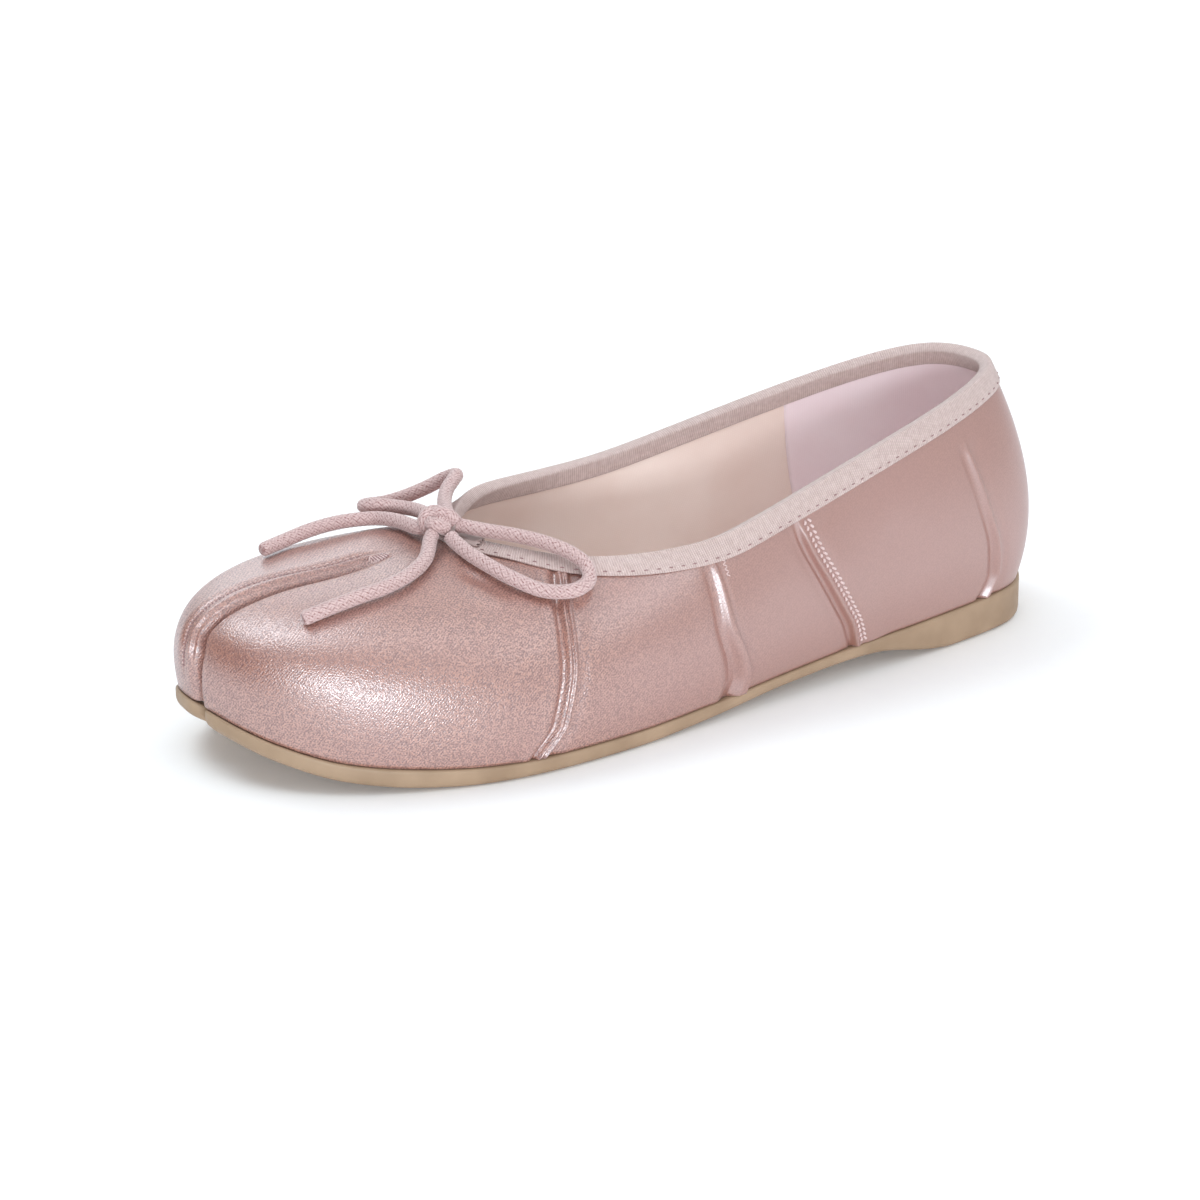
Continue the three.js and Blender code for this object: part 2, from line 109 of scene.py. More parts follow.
class Finish:
    """One material and its Principled shader."""

    def __init__(self, name, **sockets):
        self.material = bpy.data.materials.new(name)
        self.material.use_nodes = True
        self.tree = self.material.node_tree
        self.shader = self.tree.nodes["Principled BSDF"]
        for socket, value in sockets.items():
            self.shader.inputs[socket.replace("_", " ")].default_value = value

    def node(self, kind, settings=None, **sockets):
        """Adds a node; a socket's value is a number, a colour or another node's output."""
        made = self.tree.nodes.new("ShaderNode" + kind)
        for key, value in (settings or {}).items():
            setattr(made, key, value)
        for socket, value in sockets.items():
            self.put(value, made.inputs[socket.replace("_", " ")])
        return made

    def put(self, value, socket):
        if isinstance(value, bpy.types.NodeSocket):
            self.tree.links.new(value, socket)
        else:
            socket.default_value = value

    def place(self):
        return self.node("TexCoord").outputs["Object"]

    def grain(self, size, detail=2.0, where=None, roughness=0.5):
        """Noise whose grains are about this many metres across."""
        where = where or self.place()
        made = self.node("TexNoise", Vector=where, Scale=1 / size, Detail=detail, Roughness=roughness)
        return made.outputs["Fac"]

    def ramp(self, value, low, high, to_low=0.0, to_high=1.0):
        sockets = {"From_Min": low, "From_Max": high, "To_Min": to_low, "To_Max": to_high}
        return self.node("MapRange", Value=value, **sockets).outputs["Result"]

    def math(self, operation, a, b=0.0):
        made = self.node("Math", {"operation": operation})
        self.put(a, made.inputs[0])
        self.put(b, made.inputs[1])
        return made.outputs["Value"]

    def mix(self, share, a, b):
        made = self.node("Mix", {"data_type": "RGBA"})
        self.put(share, made.inputs[0])
        self.put(a, made.inputs[6])
        self.put(b, made.inputs[7])
        return made.outputs[2]

    def weave(self, name="weave"):
        """The piece's own cloth coordinates, in millimetres across and along."""
        made = self.node("UVMap", {"uv_map": name})
        parts = self.node("SeparateXYZ", Vector=made.outputs["UV"])
        return parts.outputs["X"], parts.outputs["Y"]

    def attribute(self, name):
        return self.node("Attribute", {"attribute_name": name}).outputs["Fac"]

    def ridges(self, along, pitch):
        """Rounded ridges, 0 to 1, one for each pitch."""
        turns = self.math("MULTIPLY", along, 2 * np.pi / pitch)
        return self.ramp(self.math("SINE", turns), -1.0, 1.0)

    def colour(self, value):
        self.put(value, self.shader.inputs["Base Color"])

    def rough(self, value):
        self.put(value, self.shader.inputs["Roughness"])

    def bump(self, height, depth, strength=1.0):
        """Bumps of the given depth in metres, on top of those already there."""
        made = self.node("Bump", Height=height, Distance=depth, Strength=strength)
        before = self.shader.inputs["Normal"]
        if before.is_linked:
            self.tree.links.new(before.links[0].from_socket, made.inputs["Normal"])
        self.tree.links.new(made.outputs["Normal"], before)


print("finish helpers ready")

# %% [markdown]
# ## From points to pieces
# A shoe is nearly all bent sheets and tubes, so most pieces are nets of points: columns that follow
# each other round the shoe or along a cord, each a loop of points. One function turns such a net into a
# mesh, with closed ends or joined into a ring, and can lay cloth coordinates on it for a weave.

# %% Helpers for meshes


def add_piece(name, points, faces, finish, weave=None):
    """A piece of the shoe from points in millimetres; it rides on the CAD's one body."""
    mesh = bpy.data.meshes.new(name)
    mesh.from_pydata(in_frame(points).tolist(), [], faces)
    if weave is not None:
        layer = mesh.uv_layers.new(name="weave")
        layer.uv.foreach_set("vector", np.asarray(weave, np.float32).ravel())
    mesh.polygons.foreach_set("use_smooth", np.ones(len(mesh.polygons), bool))
    mesh.update()
    mesh.materials.append(finish.material)
    piece = bpy.data.objects.new(name, mesh)
    bpy.context.scene.collection.objects.link(piece)
    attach(piece, "root")
    return piece


def net_faces(columns, rows, ring, first=0):
    """Quads between columns that are closed loops of points; a ring joins the last column to the first."""
    here = np.arange(columns if ring else columns - 1)[:, None]
    row = np.arange(rows)[None, :]
    after = (here + 1) % columns
    above = (row + 1) % rows
    corners = (here * rows + row, here * rows + above, after * rows + above, after * rows + row)
    faces = np.stack(np.broadcast_arrays(*corners), -1).reshape(-1, 4) + first
    return faces


def net_weave(across, along):
    """Cloth coordinates of net_faces: across gives each column's end, along each row's."""
    columns = len(across) - 1
    a = np.broadcast_to(across[:-1, None], (columns, len(along) - 1))
    b = np.broadcast_to(across[1:, None], a.shape)
    c = np.broadcast_to(along[None, :-1], a.shape)
    d = np.broadcast_to(along[None, 1:], a.shape)
    return np.stack([np.stack(x, -1) for x in ((a, c), (a, d), (b, d), (b, c))], -2)


def unit(vectors):
    return vectors / np.linalg.norm(vectors, axis=-1, keepdims=True)


def smoothstep(start, end, value):
    t = np.clip((value - start) / (end - start), 0, 1)
    return t * t * (3 - 2 * t)


def hump(distance, width):
    """A soft bell, 1 in the middle."""
    return np.exp(-((distance / width) ** 2))


print("mesh helpers ready")

# %% [markdown]
# ## The bow: where the cord runs
# The cord is a soft round braid, 3.8 mm thick. It comes out of the knot as two loops and two cut ends
# that lie on the vamp. The points below are the same route that the CAD solids follow, and a
# centripetal spline runs through them without overshooting at the tight turns of the loops.

# %% Routes of the cord
CORD_DIAMETER = 3.8
BOW_ROUTES = {
    "bow_loop_lateral": [
        (172.6, 3.5, 52), (168.4, 9.2, 51.7), (162.9, 16.3, 51.4), (158.7, 23.2, 50.8), (155.4, 29.4, 49.5),
        (153.9, 34.2, 47.4), (155.4, 37.6, 44.9), (160, 38.6, 43.6), (166.7, 35.5, 43.7), (172.2, 30, 46),
        (175.4, 23, 47.9), (177, 15, 49.2), (177.3, 7.6, 50.4),
    ],
    "bow_end_lateral": [
        (181.4, 3.4, 50.4), (187.9, 12.1, 48.6), (194.9, 17, 47.6), (203.1, 19.6, 46.6), (210.6, 20, 45.7),
        (219, 20.1, 44.4), (226.2, 19.5, 42.7),
    ],
    "bow_loop_medial": [
        (176.4, -5.6, 52.1), (175.4, -11.5, 51.5), (175.6, -17, 50.8), (178, -22.3, 50.3),
        (181.6, -26, 50.3), (183, -29.4, 49.2), (180.6, -32, 48.3), (175.5, -32.3, 47.9), (169.5, -32, 48.6),
        (163.5, -31.5, 50.1), (158.6, -30.2, 52.2), (157, -27.2, 53.7), (159.4, -24.4, 53.6),
        (163, -21, 52.9), (167, -15.4, 52.4), (170.4, -8.8, 52.5), (172.5, -4.3, 52.8),
    ],
    "bow_end_medial": [
        (180.6, -4.4, 50.6), (181.8, -14.2, 49.7), (184.5, -21.5, 48.5), (192.8, -24.5, 48.1),
        (201.4, -24.5, 47.5), (208.8, -24, 46.3), (216.4, -22, 45.7),
    ],
}


def spline(points, step):
    """A centripetal Catmull-Rom curve, as points about one step apart."""
    points = np.asarray(points, float)
    points = np.vstack([2 * points[0] - points[1], points, 2 * points[-1] - points[-2]])
    fine = []
    t = np.linspace(0, 1, 60, endpoint=False)[:, None]
    for p0, p1, p2, p3 in zip(points, points[1:], points[2:], points[3:]):
        d0, d1, d2 = (np.sqrt(np.linalg.norm(b - a)) for a, b in ((p0, p1), (p1, p2), (p2, p3)))
        m1 = ((p1 - p0) / d0 - (p2 - p0) / (d0 + d1) + (p2 - p1) / d1) * d1
        m2 = ((p2 - p1) / d1 - (p3 - p1) / (d1 + d2) + (p3 - p2) / d2) * d1
        curve = p1 + m1 * t + (3 * (p2 - p1) - 2 * m1 - m2) * t**2 + (2 * (p1 - p2) + m1 + m2) * t**3
        fine.append(curve)
    fine = np.vstack([*fine, points[-2]])
    length = np.concatenate([[0], np.cumsum(np.linalg.norm(np.diff(fine, axis=0), axis=1))])
    places = np.linspace(0, length[-1], max(int(round(length[-1] / step)), 2) + 1)
    return np.stack([np.interp(places, length, fine[:, k]) for k in range(3)], -1)


def path_length(points):
    return np.linalg.norm(np.diff(points, axis=0), axis=1).sum()


for name, route in BOW_ROUTES.items():
    print(name, len(route), "points,", round(path_length(spline(route, 0.5)), 1), "mm")

# %% [markdown]
# ## The braid
# A round braid is two families of strands that wind opposite ways and pass two over, two under, which
# gives the little V marks. An image could fake it, but the marks are half a millimetre deep and catch
# the light, so they are put into the mesh: each point of the tube is lifted by the strand that lies on
# top there.

# %% Finish of the braided cord
cord_finish = Finish("braided_cord", Roughness=0.78, Sheen_Weight=0.35, Sheen_Roughness=0.5)
strand = cord_finish.attribute("strand")
fuzz = cord_finish.grain(0.0004, detail=3)
# Painted shade: where the strands run low, in the hollows between them, the cord is darkened toward a deep
# rose.
braid_painted_shade_tone = cord_finish.mix(cord_finish.ramp(strand, 0.2, 0.95), linear(140, 90, 88), linear(222, 196, 194))
speckle = cord_finish.ramp(cord_finish.grain(0.00055, detail=1), 0.42, 0.62, 0.0, 0.6)
cord_finish.colour(cord_finish.mix(speckle, braid_painted_shade_tone, linear(208, 180, 178)))
cord_finish.bump(fuzz, 0.00012, 0.5)
print("finish:", cord_finish.material.name)

# %% Tubes with a braided surface
STRANDS = 12  # each way round
STRAND_RUN = 1.15  # mm along the cord between two strands
BRAID_DEPTH = 0.17


def braid_height(turn, along):
    """How high the top strand stands, 0 to 1, at a share of a turn and a length in mm."""
    one = turn * STRANDS + along / STRAND_RUN
    other = turn * STRANDS - along / STRAND_RUN
    one_on_top = (np.floor(one) - np.floor(other)) % 4 < 2
    across = np.where(one_on_top, one % 1, other % 1)
    down = np.where(one_on_top, other % 2 / 2, one % 2 / 2)
    return np.sin(np.pi * across) ** 0.7 * (0.62 + 0.38 * np.sin(np.pi * down))


def tube_frames(path, closed=False):
    """Two directions square to a path at each point, carried along without twisting."""
    ahead = np.roll(path, -1, 0) - np.roll(path, 1, 0)
    if not closed:
        ahead[0] = path[1] - path[0]
        ahead[-1] = path[-1] - path[-2]
    ahead = unit(ahead)
    side = np.zeros_like(path)
    carried = np.cross(ahead[0], (0.3, 0.2, 0.93))
    for i, direction in enumerate(ahead):
        carried = carried - direction * (carried @ direction)
        carried = carried / np.linalg.norm(carried)
        side[i] = carried
    return side, np.cross(ahead, side)


def braided_tube(path, radius, sides, closed=False, end_radius=None):
    """Points of a braided tube, columns along the path, and how high the strand stands at each."""
    side, other = tube_frames(path, closed)
    along = np.concatenate([[0], np.cumsum(np.linalg.norm(np.diff(path, axis=0), axis=1))])
    turn = np.arange(sides) / sides
    height = braid_height(turn[None, :], along[:, None])
    size = radius - BRAID_DEPTH * (1 - height)
    if end_radius is not None:
        size = size * end_radius[:, None]
    angle = 2 * np.pi * turn
    ring = np.cos(angle)[None, :, None] * side[:, None] + np.sin(angle)[None, :, None] * other[:, None]
    return path[:, None] + size[..., None] * ring, height


def add_strand_marks(piece, heights):
    marks = piece.data.attributes.new("strand", "FLOAT", "POINT")
    marks.data.foreach_set("value", np.ascontiguousarray(heights, np.float32).ravel())


print("braid:", STRANDS, "strands each way")

# %% [markdown]
# ## The knot
# The cord is wrapped round itself: one turn stands upright as a band, one lies over the top, and one
# crosses in front where the loose end comes out. Short braided tubes over a hidden core make it; they
# replace the plain ball of the CAD model.

# %% Make the knot
CORD_SIDES = 40
KNOT_RADIUS = 1.8
BAND_MIDDLE = np.array([0.4, -2.6, -0.1])
BAND_LONG = unit(np.array([0.97, 0.22, 0.1]))
BAND_HALF = (3.0, 2.1)
OVER_ROUTE = ((2.2, -2.4, -0.8), (1.5, -1.6, 1.3), (-0.2, -0.2, 2.3), (-2.0, 1.5, 1.9), (-3.4, 3.0, 0.1))
CROSS_ROUTE = ((0.2, -1.2, -1.2), (2.6, 0.6, 0.4), (2.2, 2.6, 0.2), (-0.6, 3.6, -1.0))
around = np.linspace(0, 2 * np.pi, 90, endpoint=False)[:, None]
band_up = unit(np.array([0, 0, 1]) - BAND_LONG * BAND_LONG[2])
half_long, half_high = BAND_HALF
band_path = BAND_MIDDLE + half_long * np.cos(around) * BAND_LONG + half_high * np.sin(around) * band_up
core_rows = np.linspace(-0.98, 0.98, 25)
core_path = np.stack([0 * core_rows, 4.4 * core_rows, -0.3 + 0 * core_rows], -1)
knot_tubes = (
    # path, radius, closed, taper
    (band_path, KNOT_RADIUS, True, None),
    (spline(OVER_ROUTE, 0.25), KNOT_RADIUS, False, None),
    (spline(CROSS_ROUTE, 0.25), KNOT_RADIUS, False, None),
    (core_path, 2.9, False, np.sqrt(1 - core_rows**2)),
)
knot_points, knot_heights, knot_faces = [], [], []
knot_count = 0
for path, radius, closed, taper in knot_tubes:
    tube, heights = braided_tube(KNOT_CENTRE + path, radius, CORD_SIDES, closed, taper)
    knot_faces += net_faces(len(path), CORD_SIDES, closed, knot_count).tolist()
    knot_points.append(tube.reshape(-1, 3))
    knot_heights.append(heights.ravel())
    last = knot_count + heights.size
    if not closed:
        knot_faces.append(list(range(knot_count + CORD_SIDES - 1, knot_count - 1, -1)))
        knot_faces.append(list(range(last - CORD_SIDES, last)))
    knot_count = last
knot = add_piece("knot_wraps", np.vstack(knot_points), knot_faces, cord_finish)
add_strand_marks(knot, np.concatenate(knot_heights))
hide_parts("bow_knot")
print("knot:", len(knot.data.polygons), "faces")

# %% [markdown]
# ## Loops and ends
# Each length of cord is a braided tube along its route. The loops go back into the knot; the two ends
# are cut and lie free, so their last millimetre is drawn in a little, as a sealed cut is.

# %% Make the loops and ends
CORD_STEP = 0.28
INTO_KNOT = 1.4  # mm that a cord goes on into the knot
SEALED_END = 1.1  # mm of a cut end that is drawn in


def toward_knot(point, beyond):
    """A point further into the knot than the route's own end."""
    inward = unit(KNOT_CENTRE - point)
    return point + inward * beyond


for name, route in BOW_ROUTES.items():
    is_loop = "loop" in name
    route = np.array(route, float)
    whole = [toward_knot(route[0], INTO_KNOT), *route]
    if is_loop:
        whole.append(toward_knot(route[-1], INTO_KNOT))
    path = spline(whole, CORD_STEP)
    from_end = (len(path) - 1 - np.arange(len(path))) * CORD_STEP
    drawn_in = np.ones(len(path))
    if not is_loop:
        drawn_in = np.sqrt(1 - 0.45 * (1 - np.clip(from_end / SEALED_END, 0, 1)) ** 2)
    tube, heights = braided_tube(path, CORD_DIAMETER / 2, CORD_SIDES, end_radius=drawn_in)
    faces = net_faces(len(path), CORD_SIDES, False).tolist()
    last = len(path) * CORD_SIDES
    faces.append(list(range(CORD_SIDES - 1, -1, -1)))
    faces.append(list(range(last - CORD_SIDES, last)))
    piece = add_piece("cord_" + name, tube.reshape(-1, 3), faces, cord_finish)
    add_strand_marks(piece, heights)
    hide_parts(name)
    print(piece.name, round(path_length(path), 1), "mm of cord,", len(piece.data.polygons), "faces")

# %% [markdown]
# ## The last
# A shoemaker's last is the wooden foot that a shoe is formed on. Here it is a table: ribs that run from
# the sole's edge up to the collar, and the side view of the sole. A closed spline through the ribs
# gives every point of the upper from two numbers, u round the shoe and v up the rib. It is the same
# surface as in the CAD model, so pieces made from it stay where the solids are.

# %% Tables of the last
SOLE_ROWS = np.array([
    # station, bottom, top
    (-4, 2, 11.2), (0, 1, 11), (8, 0, 10.8), (36, 0, 10.2), (42, 0.6, 10), (48, 1.7, 9.75), (54, 3.1, 9.5),
    (59, 4.2, 9.3), (64, 4.75, 9.1), (70, 4.9, 8.8), (95, 3.6, 7), (122, 1.2, 5.2), (146, 0, 4.3),
    (174, 0, 4.3), (190, 0, 4.7), (206, 0.8, 5.9), (222, 3, 8), (236, 7.6, 12.4), (246.5, 13, 17.6),
    (252, 16.2, 20.8),
])
RIBS = {
    # foot station and side, top station, side and height, then bulge and lift of the low and the high part
    "heel_back": (0.7, 0, 11, 0, 70.8, 9.5, 0, 6.6, 0),
    "heel_corner": (7.6, 17.4, 16, 12.6, 70.2, 9.5, 0, 6.6, 0),
    "heel_fold": (22.6, 25.2, 34.5, 22, 66.9, 8, 0, 6, 0),
    "quarter": (47, 30.2, 57, 28, 62.2, 6.5, 0, 4.5, 0),
    "counter_seam": (72.3, 33.4, 93, 33.3, 53, 6, 0, 4, 0),
    "waist": (93, 36.2, 107, 35.1, 49.6, 6.5, 0, 4, 0),
    "waist_fold": (112, 39.5, 119.5, 35.3, 47.4, 7, 2, 5, 2),
    "forewaist": (143, 44.8, 140, 32.5, 46.6, 9, 6, 7, 6),
    "vamp_seam": (174, 47.4, 155, 25.5, 47, 12, 11, 7, 8),
    "outer_ball": (197.5, 44, 163, 16.5, 47.6, 17, 16, 10, 10),
    "outer_toe": (220, 35, 168, 9.5, 48, 22, 17, 17, 9),
    "outer_toe_tip": (239.3, 18.5, 170.3, 4, 48.2, 27.5, 20, 25, 6),
    "cleft": (246.2, -3.2, 171, -1, 48.3, 31, 22, 26, 3),
    "inner_toe_tip": (241, -20.5, 170.3, -5.2, 48.5, 28, 20, 25.5, 6),
    "inner_toe": (222.5, -31.2, 168, -9.5, 48.8, 20.5, 17, 16.5, 8.5),
    "inner_ball": (196, -35.4, 162.5, -16.5, 49.2, 11, 15, 6, 8),
    "inner_vamp_seam": (168, -33.8, 153, -24, 49.9, 7, 6, 4.5, 2.5),
    "inner_forewaist": (140, -28.6, 137, -28.3, 49.4, 6, 2, 4.5, 1),
    "inner_waist_fold": (111, -24.2, 117, -29.5, 50, 5, 0, 4, 0),
    "inner_waist": (91, -24.4, 102, -29.5, 52, 5, 0, 3.5, 0),
    "inner_counter_seam": (70, -26.2, 86, -28.7, 55.2, 5, 0, 3, 0),
    "inner_quarter": (47, -28, 56.5, -26.4, 61.4, 6, 0, 4, 0),
    "inner_heel_fold": (24.7, -25.6, 31, -20.5, 67.4, 8, 0, 6, 0),
    "inner_heel_corner": (7.6, -17.2, 16, -12.6, 70.2, 9.5, 0, 6.6, 0),
}
RIB_NAMES = list(RIBS)
RIB_COUNT = len(RIB_NAMES)
print(RIB_COUNT, "ribs,", len(SOLE_ROWS), "rows of the sole")

# %% Points and normals of the last
STITCH_GAP = 0.3  # mm between the sole's top and the upper
TINY = 1e-3
BOTTOM, TOP = 1, 2


def glide(xs, ys, x):
    """A smooth curve through a few points that never overshoots one."""
    xs, ys = np.array(xs, float), np.array(ys, float)
    slope = np.diff(ys) / np.diff(xs)
    before, after = slope[:-1], slope[1:]
    same_way = before * after > 0
    between = np.where(same_way, 2 * before * after / np.where(same_way, before + after, 1), 0)
    tangent = np.concatenate([slope[:1], between, slope[-1:]])
    i = np.clip(np.searchsorted(xs, x) - 1, 0, len(xs) - 2)
    span = xs[i + 1] - xs[i]
    t = (x - xs[i]) / span
    ends = (1 + 2 * t) * (1 - t) ** 2 * ys[i] + t * t * (3 - 2 * t) * ys[i + 1]
    return ends + span * (t * (1 - t) ** 2 * tangent[i] + t * t * (t - 1) * tangent[i + 1])


def sole_height(column, x):
    """Height of the sole's bottom or top over a station."""
    return glide(SOLE_ROWS[:, 0], SOLE_ROWS[:, column], x)


same = np.eye(RIB_COUNT)
blend = (4 * same + np.roll(same, 1, 0) + np.roll(same, -1, 0)) / 6
RIB_CONTROLS = np.linalg.solve(blend, np.array(list(RIBS.values()), float))


def rib(u):
    """The table's nine values at any place between the ribs."""
    u = np.asarray(u, float)
    whole = np.floor(u).astype(int)
    t = (u - whole)[..., None]
    weights = (
        (1 - t) ** 3 / 6,
        (3 * t**3 - 6 * t**2 + 4) / 6,
        (-3 * t**3 + 3 * t**2 + 3 * t + 1) / 6,
        t**3 / 6,
    )
    return sum(weight * RIB_CONTROLS[(whole + k - 1) % RIB_COUNT] for k, weight in enumerate(weights))


def foot_out(u):
    """Outward direction of the foot line, seen from above."""
    along = unit((rib(u + TINY) - rib(u - TINY))[..., :2])
    return np.stack([-along[..., 1], along[..., 0]], -1)


def last_point(u, v):
    u = np.asarray(u, float)
    t = np.asarray(v, float)[..., None]
    row = rib(u)
    foot = np.stack([row[..., 0], row[..., 1], sole_height(TOP, row[..., 0]) + STITCH_GAP], -1)
    top = row[..., 2:5]
    plan = foot_out(u)
    out = np.concatenate([plan, np.zeros_like(plan[..., :1])], -1)
    lift = np.array([0, 0, 1.0])
    low = foot + (top - foot) / 3 + out * row[..., 5:6] + lift * row[..., 6:7]
    high = foot + (top - foot) * 2 / 3 + out * row[..., 7:8] + lift * row[..., 8:9]
    return (1 - t) ** 3 * foot + 3 * t * (1 - t) ** 2 * low + 3 * t * t * (1 - t) * high + t**3 * top


def last_normal(u, v):
    v = np.asarray(v, float)
    round_the_shoe = last_point(u + TINY, v) - last_point(u - TINY, v)
    up_the_rib = last_point(u, np.minimum(v + TINY, 1)) - last_point(u, np.maximum(v - TINY, 0))
    normal = np.cross(up_the_rib, round_the_shoe)
    normal[..., 2] = np.where(v <= 0, 0, normal[..., 2])
    return unit(normal)


def rib_span(u, v):
    """Millimetres round the shoe for one step of u."""
    u = np.asarray(u, float)
    return np.linalg.norm(last_point(u + TINY, v) - last_point(u - TINY, v), axis=-1) / (2 * TINY)


def girth_from(name, u, v):
    """Signed distance round the shoe from a rib, at the height v."""
    place = RIB_NAMES.index(name)
    away = (u - place + 1.5 * RIB_COUNT) % RIB_COUNT - RIB_COUNT / 2
    return away * rib_span(place, v)


every_rib = np.arange(0, RIB_COUNT, 0.02)
print("collar length:", round(path_length(last_point(every_rib, np.ones_like(every_rib))), 1), "mm")

# %% [markdown]
# ## Seams and folds of the upper
# Four lines cross each side of the upper: a double-piped seam at the ball, a soft pleat at the waist, a
# lapped seam where the heel panel lies over the side, and a pressed ridge round the heel. Each is a
# cross-section in millimetres, added along the normal of the last. Relief like this could be a bump
# map, but it shows in the outline and throws shadows, so it is real geometry.

# %% Cross-sections of the seams


def piped_seam(behind, v):
    """Two thin pipings, a sharp trough on the toe side and a long soft slope on the heel side."""
    pipings = 0.85 * (hump(behind - 0.82, 0.68) + hump(behind + 0.82, 0.68))
    between = 0.35 * hump(behind, 0.3)
    trough = 1.0 * hump(behind + 2.5, 0.95)
    lip = 0.3 * hump(behind + 4.6, 1.8)
    slope = 0.7 * smoothstep(0.6, 2.0, behind) * (1 - smoothstep(2.2, 6.5, behind))
    return pipings - between - trough + lip - slope


def pleat(behind, v):
    """A rounded fold with a thin sharp edge on the heel side, wider near the sole."""
    low = 1 - smoothstep(0, 0.85, v)
    edge = 1.3 + 0.9 * low
    back = edge - behind
    fall = 1 - smoothstep(0.9 + 1.4 * low, 2.3 + 2.8 * low, back)
    lobe = (0.6 + 1.1 * low) * smoothstep(-0.2, 0.95, back) * fall
    piping = 0.25 * hump(back - 0.5, 0.5)
    trough = (0.6 + 0.6 * low) * hump(back - 3.5 - 2.5 * low, 1.3 + 0.7 * low)
    lip = 0.3 * hump(back - 8.6, 2.2)
    return lobe + piping + lip - trough - 0.35 * hump(back + 0.8, 0.8)


def lapped_seam(behind, v):
    """The panel behind lies on top; its rolled edge makes a step with a dark line under it."""
    lap = smoothstep(-0.35, 0.4, behind) * (1 - smoothstep(4, 14, behind))
    roll = 0.5 * hump(behind - 0.7, 0.65)
    seat = 0.3 * hump(behind - 3.0, 1.4)
    return 0.8 * lap + roll - seat - 0.9 * hump(behind + 1.0, 0.9) - 0.3 * hump(behind + 3.2, 2.0)


def heel_ridge(behind, v):
    """A pressed ridge, sharper and higher near the sole."""
    low = 1 - smoothstep(0.1, 0.6, v)
    ridge = (0.75 + 0.35 * low) * hump(behind, 0.95)
    return ridge - (0.35 + 0.65 * low) * hump(behind + 2.1, 1.3) - 0.3 * hump(behind - 3.0, 2.0)


SEAMS = {
    # cross-section, and the seam's line as points (v, ribs ahead of its own rib)
    "vamp_seam": (
        piped_seam,
        ((0, 0.03), (0.12, -0.11), (0.31, -0.1), (0.49, -0.03), (0.72, 0.065), (1, 0.1)),
    ),
    "waist_fold": (
        pleat,
        ((0, 0.0), (0.12, -0.07), (0.49, 0.075), (0.88, 0.045), (1, 0.03)),
    ),
    "counter_seam": (
        lapped_seam,
        ((0, -0.03), (0.15, -0.03), (0.3, 0.01), (0.5, 0.05), (0.7, 0.075), (0.87, 0.045), (1, 0.02)),
    ),
    "heel_fold": (
        heel_ridge,
        ((0, 0.06), (0.06, -0.05), (0.13, -0.12), (0.25, -0.13), (0.5, -0.03), (0.83, 0.06), (1, 0.08)),
    ),
}
CLEFT_LINE = ((0, 0.16), (0.17, 0.135), (0.28, 0.05), (0.59, 0.03), (0.76, 0.11), (0.84, 0.09), (1, 0))
SIDES = {"": -1, "inner_": 1}  # which way u runs to the heel
PRESSED_FLAT = {
    # v where a line begins to flatten under the ribbon and where it has, and by what share
    "vamp_seam": (0.82, 0.92, 0.6),
    "waist_fold": (0.78, 0.88, 0.6),
    "counter_seam": (0.76, 0.87, 0.62),
    "heel_fold": (0.74, 0.84, 1.0),
}
UNDER_RIBBON = (0.95, 0.99)
SLIDE_REACH = 0.55  # ribs on each side that a curved line draws along


def ribs_from(name, u):
    return (u - RIB_NAMES.index(name) + 1.5 * RIB_COUNT) % RIB_COUNT - RIB_COUNT / 2


def follow_lines(u, v):
    """Slides places round the shoe, so that the net's columns follow the curved seams and the cleft."""
    slide = -glide(*zip(*CLEFT_LINE), v) * hump(ribs_from("cleft", u), SLIDE_REACH)
    for side, to_heel in SIDES.items():
        for name, (section, line) in SEAMS.items():
            ahead = glide(*zip(*line), v)
            slide = slide - to_heel * ahead * hump(ribs_from(side + name, u), SLIDE_REACH)
    return u + slide


def seam_rise(u, v):
    rise = 0
    for side, to_heel in SIDES.items():
        for name, (section, line) in SEAMS.items():
            start, end, share = PRESSED_FLAT[name]
            kept = 1 - share * smoothstep(start, end, v) - (1 - share) * smoothstep(*UNDER_RIBBON, v)
            rise = rise + kept * section(girth_from(side + name, u, v) * to_heel, v)
    return rise


print("seams on each side:", list(SEAMS))

# %% [markdown]
# ## The split toe
# The big toe has its own lobe. The satin of both lobes turns down into the cleft between them, deepest
# at the tip and running out on top of the foot. The inner lobe stands a little higher. Its edge is
# turned under: a rounded wall rises out of the cleft, then comes a flat hem, and a stitch line holds it
# down.

# %% Depth of the cleft and its lips
CLEFT_DEPTH = 12
CLEFT_END = 0.84
CLEFT_MOUTH = 0.9
CLEFT_MOUTH_AT_END = 0.8
LIP_WALL = 0.5  # share of the hem that is the rounded wall
LIP_WIDTH = 5.0


def cleft_push(u, v, spread, mouth=CLEFT_MOUTH, mouth_at_end=CLEFT_MOUTH_AT_END):
    """How far the wall is pushed in; spread widens the bottom of the cleft."""
    run = np.maximum(1 - np.asarray(v, float) / CLEFT_END, 0)
    width = mouth_at_end + (mouth - mouth_at_end) * run
    beside = np.maximum(np.abs(girth_from("cleft", u, v)) - spread, 0)
    return CLEFT_DEPTH * run**0.8 * np.exp(-beside / width)


def lip_line_at(v):
    """Distance of the stitch line from the cleft; the hem narrows where the cleft runs out."""
    return LIP_WIDTH * (1 - 0.35 * smoothstep(0.45, 0.8, v))


